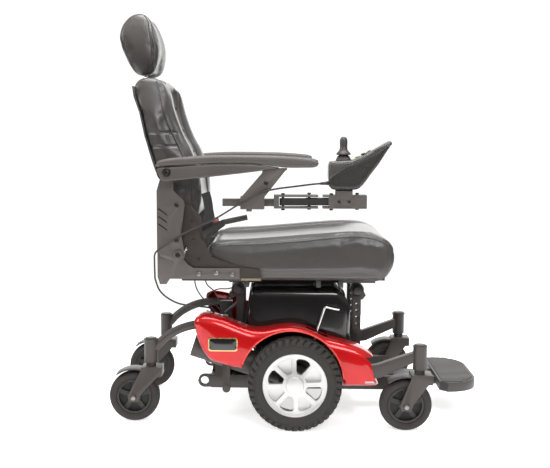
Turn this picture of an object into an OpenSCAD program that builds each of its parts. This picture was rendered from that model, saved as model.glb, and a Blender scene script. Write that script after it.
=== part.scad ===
// Power wheelchair with a captain's seat: centre wheels drive, four swivel casters ride on sprung arms.
// +X is forward, +Y is the user's left, +Z is up, in millimetres. The origin is on the floor under the
// drive axle. Paired parts are drawn on the user's right, at negative Y, and mirrored for the left.

/* [Drive wheels] */
// Radius of a drive tyre
drive_r = 137; // [135:0.5:138]
// Width of a drive tyre
drive_w = 70; // [60:1:72]
// Radius where a tyre sits on its rim
rim_r = 93; // [92:1:99]
// Distance over the outer faces of both drive tyres
track_w = 600; // [596:1:612]

/* [Casters] */
// Radius of a caster tyre
caster_r = 76; // [72:0.5:76]
// Width of a caster tyre
caster_w = 44; // [36:1:44]
// How far a front caster trails behind its swivel axis
front_trail = 40; // [36:1:44]
// How far a rear caster trails behind its swivel axis
rear_trail = 50; // [46:1:52]
// Front swivel axis ahead of the drive axle
front_swivel_x = 363; // [360:1:368]
// Front swivel axis out from the middle
front_swivel_y = 252; // [248:1:254]
// Rear swivel axis behind the drive axle
rear_swivel_x = 431; // [428:1:434]
// Rear swivel axis out from the middle
rear_swivel_y = 192; // [188:1:196]

/* [Seat] */
// Width of the seat cushion
seat_w = 468; // [440:1:470]
// Height of the seat cushion's underside
seat_z = 442; // [442:0.5:444]
// Width of the back cushion
back_w = 424; // [380:1:430]
// Width of the headrest
headrest_w = 220; // [180:1:250]
// Width of one armrest
armrest_w = 46; // [40:1:48]

/* [Footplate] */
// Height of the footplate's top
footplate_z = 120; // [116:1:122]
// Width of the footplate
footplate_w = 330; // [300:2:334]

/* [Fits] */
// Radial play of each shaft in its bore
play = 0.05; // [0.02:0.01:0.08]
// Gap between parts that pass each other
gap = 0.4; // [0.35:0.05:0.6]

/* [Hidden] */
$fn = 64;

// Colours of the materials
PAINT = [0.36, 0.33, 0.31];
STEEL = [0.62, 0.62, 0.63];
RED = [0.72, 0.06, 0.04];
BLACK = [0.07, 0.06, 0.06];
VINYL = [0.30, 0.29, 0.28];
RUBBER = [0.14, 0.13, 0.13];
SILVER = [0.75, 0.75, 0.76];
PLASTIC = [0.25, 0.24, 0.23];

// Drive wheel, measured from its inner face outwards
drive_y = track_w / 2 - drive_w;
axle_r = 10;
hub_r = 30;
cap_r = 27;
disc_in = 50;
disc_t = 8;

// Frame: two box rails, cross members and the uprights that carry the arms
rail_in = 118;
rail_out = 142;
rail_z0 = 88;
rail_z1 = 128;
rail_back = -255;
rail_front = 285;
eye_r = 12.5;
eye_x_back = -274;
eye_x_front = 304;
eye_z = 108;
post_in = 85;
post_out = 115;
front_post_x = [175, 202];
rear_post_x = [-178, -156];
tube_z = 389;
tube_r = 12.5;
front_tube_x = 190;
rear_tube_x = -172;

// Suspension pivots, and the arc that the rear arm's tube follows
front_pivot = [185, 166];
rear_bend_c = [-267, 104];
rear_bend_r = 192;
rear_pivot_a = 76.5;
rear_pivot = rear_bend_c + rear_bend_r * [cos(rear_pivot_a), sin(rear_pivot_a)];
pivot_r = 10;
front_arm_y = [234, 258];
rear_arm_w = 24;

// Swivels
barrel_r = 20;
barrel_z0 = 180;
barrel_z1 = 247;
stem_r = 10;
axle_pin_r = 5;
leg_in = 26;
leg_t = 5;
crown_z = 158;

// Gearmotor: an in-line barrel that tilts up towards the rear
motor_tilt = 17.5;
motor_y = [148, 222];
motor_r = 37;
motor_len = 318;

// Side plates of the seat and the back, by their outer faces
pan_plate_y = 240.5;
seat_plate_y = 246;
back_plate_y = 252;
plate_t = 5;
hinge = [-341, 511];
hinge_r = 9;
arm_pivot = [-367, 752];
arm_pivot_r = 8;
armrest_in = 254;

// Joystick swing-away arm: two parallel links between the tube's fork and the carrier
stick_y = -264;
link_z = [659, 679];
fork_z = [650, 688];
outer_pins = [-37, 100];
inner_pins = [38, 175];
link_offset = 12;
link_pin_r = 4;
tube_w = 21;
stick_ball = [134, 786];
stick_ball_r = 22;

// Headrest posts lean back with the cushion
lean = 15;
headrest_foot = [-462, 1045];
headrest_post_r = 6;
headrest_post_y = 60;

// Draws the children on the right, or mirrored on the left
module on(side) {
    if (side == "left") mirror([0, 1, 0]) children();
    else children();
}

// A plate on the right side: a side outline, its outer face at y_out from the middle
module plate(points, y_out, t) {
    translate([0, t - y_out, 0]) rotate([90, 0, 0]) linear_extrude(t) polygon(points);
}

// A side outline that runs right across the middle
module across(points, w) {
    translate([0, w / 2, 0]) rotate([90, 0, 0]) linear_extrude(w) polygon(points);
}

// A round bar along Y between two distances
module y_rod(p, r, y0, y1) {
    translate([p[0], y1, p[1]]) rotate([90, 0, 0]) cylinder(r = r, h = y1 - y0);
}

// A round bar between two points
module rod(p, q, r) {
    v = q - p;
    translate(p) rotate([0, acos(v[2] / norm(v)), atan2(v[1], v[0])]) cylinder(r = r, h = norm(v));
}

module box(x, y, z) {
    translate([x[0], y[0], z[0]]) cube([x[1] - x[0], y[1] - y[0], z[1] - z[0]]);
}

// Points of an arc about c, in degrees
function arc(c, r, a0, a1, n) = [for (i = [0:n]) c + r * [cos(a0 + (a1 - a0) * i / n), sin(a0 + (a1 - a0) * i / n)]];

// A closed outline, moved inwards by d
function unit(v) = v / max(norm(v), 1e-6);
function left_of(a, b) = let (u = unit(b - a)) [-u[1], u[0]];
function inset(p, d) = [for (i = [0:len(p) - 1])
    let (n = len(p), m = left_of(p[(i + n - 1) % n], p[i]), k = left_of(p[i], p[(i + 1) % n]))
    p[i] + (m + k) * d / max(1 + m * k, 0.6)];

// A cable: a smooth line through hand-set points, swept with a round section
function between(p, i, t) =
    let (n = len(p), a = p[max(i - 1, 0)], b = p[i], c = p[i + 1], d = p[min(i + 2, n - 1)])
    0.5 * (2 * b + (c - a) * t + (2 * a - 5 * b + 4 * c - d) * t * t + (3 * b - a - 3 * c + d) * t * t * t);
function smooth(p, steps) =
    concat([for (i = [0:len(p) - 2]) for (s = [0:steps - 1]) between(p, i, s / steps)], [p[len(p) - 1]]);
function trimmed(line, d) = let (n = len(line))
    [for (i = [0:n - 1]) i == 0 ? line[0] + d * unit(line[1] - line[0])
        : i == n - 1 ? line[i] + d * unit(line[i - 1] - line[i]) : line[i]];
module cable(route, r, steps = 3, sides = 8) {
    line = trimmed(smooth(route, steps), lead_end);
    n = len(line);
    rings = [for (i = [0:n - 1])
        let (t = unit(line[min(i + 1, n - 1)] - line[max(i - 1, 0)]), u = unit(cross(t, [0, 1, 0])), w = cross(t, u))
        for (k = [0:sides - 1]) line[i] + r * (u * cos(360 * k / sides) + w * sin(360 * k / sides))];
    walls = [for (i = [0:n - 2]) for (k = [0:sides - 1])
        [i * sides + k, (i + 1) * sides + k, (i + 1) * sides + (k + 1) % sides, i * sides + (k + 1) % sides]];
    ends = [[for (k = [0:sides - 1]) k], [for (k = [sides - 1:-1:0]) (n - 1) * sides + k]];
    polyhedron(rings, concat(walls, ends));
}

// ---- Base ----

module tie_down_eye(x_end, x_eye) {
    difference() {
        union() {
            box([min(x_end, x_eye), max(x_end, x_eye)], [-136, -124], [eye_z - 20, eye_z + 20]);
            y_rod([x_eye, eye_z], 20, -136, -124);
        }
        y_rod([x_eye, eye_z], eye_r, -137, -123);
    }
}

module base_frame() {
    color(PAINT) {
        box([rail_back, rail_back + 30], [-rail_in, rail_in], [rail_z0, rail_z1]);
        box([165, 212], [-rail_in, rail_in], [rail_z0, rail_z1]);
        box([rail_back + 30, 165], [-rail_in, rail_in], [rail_z0, rail_z0 + 4]);
        for (side = ["right", "left"]) on(side) {
            box([rail_back, rail_front], [-rail_out, -rail_in], [rail_z0, rail_z1]);
            box([rear_pivot[0] - 20, rear_pivot[0] + 20], [-rail_out, -rail_in], [rail_z1, rear_pivot[1] + 20]);
            box([front_pivot[0] - 22, front_pivot[0] + 22], [-rail_out, -rail_in], [rail_z1, front_pivot[1] + 22]);
            for (x = [-118, 108]) box([x, x + 12], [-rail_out, -rail_in], [rail_z1, 396]);
            y_rod(rear_pivot, pivot_r - play, -rear_swivel_y - rear_arm_w / 2 - 6, -rail_out);
            y_rod(front_pivot, pivot_r - play, -front_arm_y[1] - 2, -rail_out);
            tie_down_eye(rail_back, eye_x_back);
            tie_down_eye(rail_front, eye_x_front);
        }
    }
}

module batteries() {
    color(BLACK) for (y = [-113, 3]) {
        box([-100, 98], [y, y + 110], [rail_z0 + 4, 268]);
        for (x = [-82, 66]) box([x, x + 14], [y + 12, y + 26], [268, 280]);
    }
}

cover = [[-152, 228], [-150, 293], [-136, 392], [-128, 401], [118, 402], [134, 396], [146, 384],
    [159, 364], [165, 342], [166, 319], [163, 228]];
module battery_cover() {
    color(BLACK) difference() {
        across(cover, 372);
        across(concat([[-149, 220]], [for (q = inset(cover, -3)) if (q[1] > 229) q], [[159, 220]]), 366);
    }
}

module power_module() {
    color(PLASTIC) {
        box([-252, -192], [-100, 100], [rail_z1, 205]);
        for (y = [-80:32:80]) box([-256, -252], [y - 11, y + 11], [146, 168]);
    }
}

arch_c = [-10, 139];
arch_r = 151;
fender = concat(
    [[140, 126], [219, 127], [241, 131], [248, 142], [247, 156], [238, 196], [227, 216], [196, 238], [155, 255],
        [92, 272], [60, 288], [29, 298], [-9, 303], [-50, 302], [-93, 295], [-120, 296], [-148, 302], [-189, 319],
        [-217, 329], [-250, 335], [-277, 334], [-291, 326], [-296, 313], [-293, 288], [-279, 244], [-263, 217],
        [-244, 197], [-209, 186], [-180, 176], [-168, 180]],
    arc(arch_c, arch_r, 155, 0, 15));
fender_y = [188, 265];
skin_t = 2.5;
// Each side shroud is one thin skin: a side wall with the top and arch turned in towards the middle
module shroud() {
    color(RED) difference() {
        union() {
            plate(fender, fender_y[1] - 3, fender_y[1] - 3 - fender_y[0]);
            plate(inset(fender, 2), fender_y[1], 3);
        }
        plate(inset(fender, skin_t), fender_y[1] - 3, fender_y[1] - 2 - fender_y[0]);
        box([-310, -255], [-rear_swivel_y - 18, -fender_y[0] + 2], [262, 324]);
        box([34, 96], [-226, -192], [255, 300]);
        box([205, 260], [-front_arm_y[1] - 2, -fender_y[0] + 2], [134, 214]);
        translate([0, -motor_y[0], drive_r]) rotate([0, motor_tilt, 0])
            box([-motor_len - 30, -20], [-80, 0], [-motor_r - 4, motor_r + 4]);
    }
}

// The barrel runs back and up from the gearbox, with a brake cap at its end and a bush hung below it
module gearmotor() {
    barrel_y = -(motor_y[0] + motor_y[1]) / 2;
    color(PLASTIC) difference() {
        union() {
            y_rod([0, drive_r], 46, -226, -motor_y[0]);
            box([-60, 60], [-motor_y[0], -rail_out], [96, 184]);
            translate([0, barrel_y, drive_r]) rotate([0, -90 + motor_tilt, 0]) {
                cylinder(r = motor_r - 3, h = 120);
                translate([0, 0, 120]) cylinder(r = motor_r, h = 150);
                translate([0, 0, 270]) cylinder(r = motor_r - 2, h = motor_len - 270);
            }
            plate([[-214, 105], [-192, 105], [-192, 176], [-214, 180]], 214, 20);
            y_rod([-203, 105], 12, -216, -192);
            plate([[0, 180], [38, 166], [30, 200], [10, 204]], 201, 8);
            y_rod(lever_pin, 4 - play, lever_y - 8, -198);
            y_rod(lever_pin, 7, lever_y - 10, lever_y - 6 - gap);
        }
        y_rod([0, drive_r], axle_r, -227, -170);
    }
}

lever_pin = [20, 196];
lever_y = -209;
// A bent rod on top of the gearbox, thrown back to free the wheel
module freewheel_lever() {
    bends = [[20, lever_y, 196], [56, lever_y, 252], [68, lever_y, 290], [88, lever_y, 352], [130, lever_y, 345]];
    color(STEEL) difference() {
        union() {
            y_rod(lever_pin, 8, lever_y - 6, lever_y + 6);
            for (i = [0:3]) rod(bends[i], bends[i + 1], 3.3);
            for (i = [1:3]) translate(bends[i]) sphere(3.7);
        }
        y_rod(lever_pin, 4, lever_y - 7, lever_y + 7);
    }
}

module hook_clamp(x) {
    y_rod([x, tube_z], 21, -post_out + 2, -post_in - 2);
}

module seat_posts() {
    color(PAINT) for (side = ["right", "left"]) on(side) {
        difference() {
            union() {
                box(front_post_x, [-post_out, -post_in], [rail_z1, 372]);
                hook_clamp(front_tube_x);
                y_rod([190, 260], 13, -post_out - 4, -post_out);
                plate([[196, 404], [208, 390], [217, 372], [208, 360], [190, 356], [178, 372]], post_out - 4, 22);
            }
            y_rod([front_tube_x, tube_z], tube_r, -post_out - 1, -post_in + 1);
            for (z = [285:20:345]) y_rod([189, z], 4, -post_out - 1, -post_in + 1);
        }
        difference() {
            union() {
                box([rear_post_x[0], rear_post_x[1]], [-post_out, -post_in], [rail_z0 + 4, 372]);
                hook_clamp(rear_tube_x);
                y_rod([-192, 372], 9, -post_out - 2, -post_in + 2);
            }
            y_rod([rear_tube_x, tube_z], tube_r, -post_out - 1, -post_in + 1);
        }
        rod([-170, -108, 350], [rear_pivot[0] + 10, -124, rear_pivot[1] + 25.5], 5);
    }
}

module seat_frame() {
    color(PAINT) {
        for (x = [front_tube_x, rear_tube_x]) y_rod([x, tube_z], tube_r, -130, 130);
        for (side = ["right", "left"]) on(side)
            box([-200, 245], [-112, -88], [tube_z + 21, seat_z - 8]);
        for (x = [-150, 62, 128]) box([x, x + 14], [-205, 205], [410, seat_z - 8]);
    }
}

module footplate_bracket() {
    color(PAINT) {
        box([212, 402], [-32, 32], [rail_z0, 110]);
        box([402, 470], [-32, 32], [78, 88.6]);
        box([212, 420], [-32, 32], [78, rail_z0]);
        y_rod([428, 98], 8, -36, 36);
        y_rod([428, 98], 6 - play, -62, 62);
        box([402, 428], [-32, 32], [88, 98]);
    }
}

footplate_x = [440, 557];
footplate_corner = 90;
module footplate() {
    half = footplate_w / 2;
    color(PLASTIC) {
        difference() {
            translate([0, 0, 89]) linear_extrude(footplate_z - 3 - 89) polygon(concat(
                [[footplate_x[0], -half + 22], [footplate_x[0] + 22, -half]],
                arc([footplate_x[1] - footplate_corner, footplate_corner - half], footplate_corner, -90, 0, 8),
                arc([footplate_x[1] - footplate_corner, half - footplate_corner], footplate_corner, 0, 90, 8),
                [[footplate_x[0] + 22, half], [footplate_x[0], half - 22]]));
            box([footplate_x[0] - 1, footplate_x[0] + 32], [-33, 33], [77, 98]);
        }
        for (y = [-half + 20:14.5:half - 20]) {
            into_corner = max(0, abs(y) + 4 - half + footplate_corner);
            box([footplate_x[0] + 6, footplate_x[1] - 8 - footplate_corner + sqrt(pow(footplate_corner, 2)
                - pow(into_corner, 2))], [y - 4, y + 4], [footplate_z - 3, footplate_z]);
        }
        for (y = [-58, 40]) difference() {
            union() {
                box([428, 446], [y, y + 18], [89, 107]);
                y_rod([428, 98], 9, y, y + 18);
            }
            y_rod([428, 98], 6, y - 1, y + 19);
        }
    }
}

// ---- Suspension arms, casters and drive wheels ----

module barrel(x, y) {
    translate([x, y, barrel_z0]) difference() {
        union() {
            cylinder(r = barrel_r, h = barrel_z1 - barrel_z0);
            translate([0, 0, barrel_z1 - barrel_z0]) cylinder(r = barrel_r + 1, h = 4);
            translate([0, 0, barrel_z1 - barrel_z0 + 4]) cylinder(r = barrel_r - 4, h = 3);
        }
        translate([0, 0, -1]) cylinder(r = stem_r, h = barrel_z1 - barrel_z0 - 3);
    }
}

module front_arm() {
    color(PAINT) difference() {
        union() {
            barrel(front_swivel_x, -front_swivel_y);
            plate([[185, 149], [250, 155], [front_swivel_x - 12, 203], [front_swivel_x - 12, 232], [240, 192],
                [185, 183]], front_arm_y[1], front_arm_y[1] - front_arm_y[0]);
            y_rod(front_pivot, 17, -front_arm_y[1], -front_arm_y[0]);
        }
        y_rod(front_pivot, pivot_r, -front_arm_y[1] - 1, -front_arm_y[0] + 1);
        translate([front_swivel_x, -front_swivel_y, barrel_z0 - 1])
            cylinder(r = stem_r, h = barrel_z1 - barrel_z0 - 3);
    }
}

module rear_arm() {
    color(PAINT) difference() {
        union() {
            barrel(-rear_swivel_x, -rear_swivel_y);
            translate([rear_bend_c[0], -rear_swivel_y, rear_bend_c[1]]) rotate([90, 0, 0])
                rotate([0, 0, rear_pivot_a]) rotate_extrude(angle = 142 - rear_pivot_a)
                    translate([rear_bend_r, 0]) circle(13);
            y_rod(rear_pivot, 17, -rear_swivel_y - rear_arm_w / 2, -rear_swivel_y + rear_arm_w / 2);
        }
        y_rod(rear_pivot, pivot_r, -rear_swivel_y - 30, -rear_swivel_y + 30);
        translate([-rear_swivel_x, -rear_swivel_y, barrel_z0 - 1])
            cylinder(r = stem_r, h = barrel_z1 - barrel_z0 - 3);
    }
}

// Caster parts are drawn with the swivel axis at the origin and the wheel trailing towards -X
module at_swivel(end, side) {
    on(side) translate([end == "front" ? front_swivel_x : -rear_swivel_x,
        end == "front" ? -front_swivel_y : -rear_swivel_y, 0]) children();
}

module caster_fork(trail) {
    wheel = [-trail, caster_r];
    out = leg_in + leg_t;
    color(PAINT) {
        cylinder_at(0, 0, crown_z + 10, barrel_z1 - 8, stem_r - play);
        cylinder_at(0, 0, crown_z + 10, barrel_z0 - gap, 15);
        box([-26, 35], [-out, out], [crown_z, crown_z + 10]);
        box([14, 35], [-out, out], [140, crown_z]);
        for (y = [-out, leg_in]) translate([0, y + leg_t, 0]) rotate([90, 0, 0]) linear_extrude(leg_t)
            polygon([[-26, crown_z + 4], [24, crown_z + 4], [24, 142], wheel + [21, 8], wheel + [13, -13],
                wheel + [-13, -13], wheel + [-18, 4]]);
        translate([wheel[0], 25, wheel[1]]) rotate([90, 0, 0]) rotate([0, 0, 62])
            rotate_extrude(angle = 66) translate([caster_r + 7, 0]) square([4, 50]);
        y_rod(wheel, axle_pin_r - play, -out - 4, out + 4);
        for (y = [-out - 5, out]) y_rod(wheel, 9, y, y + 5);
    }
}

module cylinder_at(x, y, z0, z1, r) {
    translate([x, y, z0]) cylinder(r = r, h = z1 - z0);
}

spokes = 5;
module caster_rim(trail) {
    color(PLASTIC) translate([-trail, 0, caster_r]) rotate([90, 0, 0]) difference() {
        union() {
            cylinder(r = 13, h = 48, center = true);
            difference() {
                cylinder(r = 52, h = 34, center = true);
                cylinder(r = 46, h = 35, center = true);
            }
            cylinder(r = 20, h = 26, center = true);
            for (i = [0:spokes - 1]) rotate([0, 0, 90 + i * 360 / spokes])
                translate([10, -7, -8]) cube([38, 14, 16]);
        }
        cylinder(r = axle_pin_r, h = 60, center = true);
    }
}

module caster_tyre(trail) {
    half = caster_w / 2;
    color(RUBBER) translate([-trail, 0, caster_r]) rotate([90, 0, 0]) rotate_extrude()
        polygon(concat([[52, -half + 5], [58, -half]], arc([caster_r - 12, -half + 12], 12, -90, 0, 5),
            arc([caster_r - 12, half - 12], 12, 0, 90, 5), [[58, half], [52, half - 5]]));
}

// Wheel parts are drawn along +Z from the tyre's inner face, then laid over to point outwards
module at_axle() {
    translate([0, -drive_y, drive_r]) rotate([90, 0, 0]) children();
}

module drive_tyre() {
    color(RUBBER) at_axle() rotate_extrude()
        polygon(concat([[rim_r, 8], [rim_r + 4, 1], [112, 0]], arc([drive_r - 15, 15], 15, -80, 0, 5),
            arc([drive_r - 15, drive_w - 15], 15, 0, 80, 5), [[112, drive_w], [rim_r + 4, drive_w - 1], [rim_r, drive_w - 8]]));
}

window = [[42, -6], [74, -19], [82, -12], [84, 0], [82, 12], [74, 19], [42, 6]];
module drive_rim() {
    color(SILVER) at_axle() difference() {
        union() {
            difference() {
                translate([0, 0, 6]) cylinder(r = rim_r, h = drive_w - 12);
                translate([0, 0, 5]) cylinder(r = rim_r - 5, h = drive_w - 10);
            }
            translate([0, 0, disc_in]) cylinder(r = rim_r - 4, h = disc_t);
            translate([0, 0, 12]) cylinder(r = hub_r, h = disc_in + disc_t - 8);
            translate([0, 0, disc_in]) cylinder(r = cap_r, h = drive_w - 3 - disc_in);
            translate([0, 0, -58]) cylinder(r = axle_r - play, h = 75);
        }
        for (i = [0:3]) rotate([0, 0, 70 + 90 * i]) {
            translate([0, 0, disc_in - 1]) linear_extrude(disc_t + 2) polygon(window);
            rotate([0, 0, 45]) translate([0, 0, disc_in + disc_t - 4]) linear_extrude(5) polygon(window);
        }
    }
}

// ---- Seat and back ----

// A moulded pan under the cushion, with a raised back lip and a dark plate up each side to the recliner
module seat_pan() {
    color(BLACK) {
        box([-205, 262], [-215, 215], [seat_z - 8, seat_z - 1]);
        across([[-205, seat_z - 8], [-205, seat_z - 1], [-266, 505], [-274, 500], [-216, seat_z - 8]], 430);
        for (side = ["right", "left"]) on(side) {
            difference() {
                plate([[-318, 658], [-300, 650], [-277, 625], [-262, 545], [-246, 505], [-159, 474], [-103, 468],
                    [-98, seat_z - 8], [-330, seat_z - 8], [-352, 500], [-340, 560]], pan_plate_y, 3.5);
                y_rod(hinge, hinge_r + 1, -242, -236);
            }
            box([-205, -100], [-pan_plate_y + 1, -214], [seat_z - 8, seat_z - 1]);
            y_rod([-262, 570], 7 - play, -247.5, -pan_plate_y);
        }
    }
}

seat_side = [[-200, seat_z], [262, seat_z], [280, 462], [291, 492], [290, 527], [284, 543], [266, 560], [229, 571],
    [191, 575], [140, 574], [85, 570], [13, 564], [-110, 554], [-190, 550], [-246, 548], [-257, 540], [-256, 512]];
module seat_cushion() {
    color(VINYL) across(seat_side, seat_w);
}

module bolt_head(p, y_out) {
    y_rod(p, 6.5, -y_out - 3, -y_out);
}

module seat_side_plates() {
    y = seat_plate_y;
    color(PAINT) for (side = ["right", "left"]) on(side) {
        plate([[-402, 560], [-402, 445], [-395, 424], [-376, 424], [-366, 440], [-162, 440], [-162, 472], [-295, 472],
            [-313, 482], [-326, 498], [-321, 511], [-326, 525], [-340, 534], [-360, 560]], y, plate_t);
        y_rod(hinge, hinge_r - play, -back_plate_y - 3, -y);
        y_rod(hinge, 13, -back_plate_y - 6, -back_plate_y - gap);
        for (p = [[-281, 455], [-230, 458], [-183, 454]]) bolt_head(p, y);
        box([-300, -165], [-y + plate_t, -pan_plate_y], [445, 468]);
    }
}

// Two webbing straps bolted to the pan, the right one ending in a buckle and the left one in a tongue
module lap_belt() {
    color(BLACK) for (side = ["right", "left"]) on(side) {
        if (side == "right") {
            plate([[-292, 486], [-268, 480], [-246, 600], [-240, 640], [-250, 690], [-262, 696], [-272, 690],
                [-264, 640]], 236.6, 2);
            plate([[-272, 566], [-228, 560], [-222, 604], [-262, 616]], 234.5, 14);
            plate([[-246, 606], [-224, 600], [-222, 612], [-244, 618]], 232, 9);
        }
        else {
            plate([[-292, 486], [-268, 480], [-256, 552], [-280, 556]], 236.6, 2);
            plate([[-279, 550], [-257, 546], [-253, 574], [-274, 578]], 234.5, 3);
        }
    }
}

back_side = [[-370, 604], [-376, 700], [-400, 735], [-437, 852], [-452, 922], [-468, 970], [-472, 1000],
    [-464, 1020], [-446, 1029], [-412, 1028], [-398, 1020], [-384, 1003], [-374, 978], [-364, 935], [-348, 886],
    [-330, 844], [-312, 811], [-289, 745], [-282, 694], [-284, 625], [-294, 604]];
module back_cushion() {
    color(VINYL) difference() {
        across([for (i = [len(back_side) - 1:-1:0]) back_side[i]], back_w);
        for (y = [-1, 1]) translate([headrest_foot[0], y * headrest_post_y, headrest_foot[1]])
            rotate([0, -lean, 0]) translate([0, 0, -200]) cylinder(r = headrest_post_r + 3, h = 220);
    }
}

// A board behind the back cushion on two cross tubes, and the sleeves that guide the headrest's posts
module back_shell() {
    color(BLACK) {
        across([[-376, 606], [-382, 702], [-406, 737], [-443, 854], [-458, 924], [-474, 970], [-478, 1000],
            [-473, 1000], [-469, 972], [-453, 923], [-438, 853], [-401, 736], [-377, 701], [-371, 606]], back_w - 24);
        for (z = [628, 676]) y_rod([-389, z], 9, -back_plate_y + plate_t, back_plate_y - plate_t);
        for (y = [-1, 1]) translate([headrest_foot[0], y * headrest_post_y, headrest_foot[1]])
            rotate([0, -lean, 0]) translate([0, 0, -190]) difference() {
                cylinder(r = headrest_post_r + 3, h = 170);
                translate([0, 0, 3]) cylinder(r = headrest_post_r, h = 170);
            }
    }
}

module back_side_plates() {
    y = back_plate_y;
    color(PAINT) for (side = ["right", "left"]) on(side) {
        difference() {
            union() {
                plate([[-402, 698], [-402, 520], [-390, 505], [-348, 491], [-326, 498], [-321, 511], [-332, 574],
                    [-321, 656], [-325, 670], [-353, 698], [-353, 764], [-360, 770], [-380, 768], [-396, 718]],
                    y, plate_t);
                y_rod(hinge, 20, -y, -y + plate_t);
                y_rod(arm_pivot, 15, -y, -y + plate_t);
            }
            y_rod(hinge, hinge_r, -y - 1, -y + plate_t + 1);
            for (i = [0:2]) plate([[-398, 648 - 22 * i], [-372, 630 - 22 * i], [-372, 626 - 22 * i],
                [-398, 644 - 22 * i]], y + 1, plate_t + 2);
        }
        y_rod(arm_pivot, arm_pivot_r - play, -y - 36, -y);
        for (p = [[-344, 656], [-344, 554]]) bolt_head(p, y);
    }
}

lever_pivot = [-262, 570];
module recline_lever() {
    color(BLACK) difference() {
        union() {
            y_rod(lever_pivot, 13, -247, -pan_plate_y - gap);
            plate([[-272, 578], [-254, 560], [-204, 597], [-208, 613], [-222, 610]], 247, 5);
            rod([-214, -239, 605], [-140, -239, 621], 8);
        }
        y_rod(lever_pivot, 7, -260, -230);
    }
}

headrest_side = [[-439, 1040], [-469, 1036], [-489, 1050], [-514, 1098], [-528, 1135], [-531, 1157], [-522, 1190],
    [-503, 1213], [-486, 1222], [-467, 1225], [-450, 1218], [-437, 1201], [-424, 1165], [-414, 1127], [-413, 1095],
    [-417, 1068], [-425, 1050]];
module headrest_cushion() {
    color(VINYL) difference() {
        across(headrest_side, headrest_w);
        for (y = [-1, 1]) translate([headrest_foot[0], y * headrest_post_y, headrest_foot[1]])
            rotate([0, -lean, 0]) translate([0, 0, -40]) cylinder(r = headrest_post_r, h = 80);
    }
}

module headrest_posts() {
    color(STEEL) for (y = [-1, 1]) translate([headrest_foot[0], y * headrest_post_y, headrest_foot[1]])
        rotate([0, -lean, 0]) translate([0, 0, -180]) cylinder(r = headrest_post_r - play, h = 220);
}

// ---- Armrests ----

module armrest_body() {
    color(PAINT) difference() {
        plate([[-396, 762], [-388, 742], [-376, 726], [-237, 740], [-134, 752], [-40, 765], [-134, 775],
            [-250, 774], [-394, 764]], armrest_in + armrest_w, armrest_w);
        y_rod(arm_pivot, arm_pivot_r, -armrest_in - 35.5, -armrest_in + 1);
        y_rod(arm_pivot, 10, -armrest_in - armrest_w - 1, -armrest_in - armrest_w + 2);
    }
}

module armrest_pad() {
    color(PLASTIC) plate([[-398, 766], [-250, 776], [-134, 777], [-30, 765], [52, 766], [62, 774], [62, 782],
        [48, 792], [-30, 799], [-151, 801], [-272, 800], [-358, 793], [-394, 783]],
        armrest_in + armrest_w, armrest_w);
}

// ---- Joystick on its swing-away arm, on the right armrest ----

module joystick_bracket() {
    color(PAINT) difference() {
        union() {
            plate([[-91, 757.4], [-42, 764.3], [-25, 764.3], [-40, 746], [-90, 682], [-90, 650], [-158, 650], [-158, 680]], 294, 5);
            plate([[-96, 756.7], [-42, 764.3], [-26, 764.3], [-26, 759], [-96, 751]], 294, 34);
            box([-158, -90], [-294, stick_y + tube_w / 2 + 5], [648, 684]);
            y_rod([-85, 723], 7, -297, -289);
            translate([-134, stick_y, 640]) cylinder(r = 8, h = 10);
        }
        box([-159, -89], [stick_y - tube_w / 2 - play, stick_y + tube_w / 2 + play],
            [655.5 - play, 655.5 + tube_w + play]);
    }
}

module z_pin(x, y, r, z0, z1) {
    translate([x, y, z0]) cylinder(r = r, h = z1 - z0);
}

// The square tube slides in the bracket; its fork holds the rear pins of both links
module joystick_tube() {
    y_out = stick_y - link_offset;
    y_in = stick_y + link_offset;
    color(PAINT) {
        box([-210, -58], [stick_y - tube_w / 2, stick_y + tube_w / 2], [655.5, 655.5 + tube_w]);
        box([-63, -56], [stick_y - 23, stick_y + 23], fork_z);
        for (z = [fork_z[0], fork_z[1] - 5]) box([-60, 63], [stick_y - 23, stick_y + 23], [z, z + 5]);
        z_pin(outer_pins[0], y_out, link_pin_r - play, fork_z[0] - 4, fork_z[1] + 4);
        z_pin(inner_pins[0], y_in, link_pin_r - play, fork_z[0] - 4, fork_z[1] + 4);
    }
}

module swing_link(pins, y, far_play) {
    color(BLACK) difference() {
        union() {
            for (x = pins) z_pin(x, y, 10, link_z[0], link_z[1]);
            box(pins, [y - 8, y + 8], link_z);
        }
        z_pin(pins[0], y, link_pin_r, link_z[0] - 1, link_z[1] + 1);
        z_pin(pins[1], y, link_pin_r + far_play, link_z[0] - 1, link_z[1] + 1);
    }
}

module joystick_carrier() {
    color(PAINT) {
        for (z = [fork_z[0], fork_z[1] - 5]) box([76, 200], [stick_y - 23, stick_y + 23], [z, z + 5]);
        box([193, 200], [stick_y - 23, stick_y + 23], fork_z);
        z_pin(outer_pins[1], stick_y - link_offset, link_pin_r - play, fork_z[0] - 4, fork_z[1] + 4);
        z_pin(inner_pins[1], stick_y + link_offset, link_pin_r - play, fork_z[0] - 4, fork_z[1] + 4);
        box([112, 160], [stick_y - 18, stick_y + 18], [fork_z[1], 703]);
    }
}

// A wedge-shaped pod: its side outline crossed with its plan
module joystick_housing() {
    color(PLASTIC) difference() {
        intersection() {
            plate([[90, 717], [102, 703], [164, 703], [189, 720], [230, 776], [266, 830], [261, 839], [230, 821],
                [160, 787], [96, 776]], -stick_y + 36, 72);
            linear_extrude(900) polygon(concat(arc([118, stick_y], 32, 110, 250, 6),
                [[200, stick_y - 36], [246, stick_y - 32]], arc([250, stick_y], 20, -50, 50, 4),
                [[246, stick_y + 32], [200, stick_y + 36]]));
        }
        translate([stick_ball[0], stick_y, stick_ball[1]]) sphere(stick_ball_r + gap);
    }
}

module joystick_gimbal() {
    color(STEEL) translate([stick_ball[0], stick_y, stick_ball[1]]) sphere(6);
}

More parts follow.
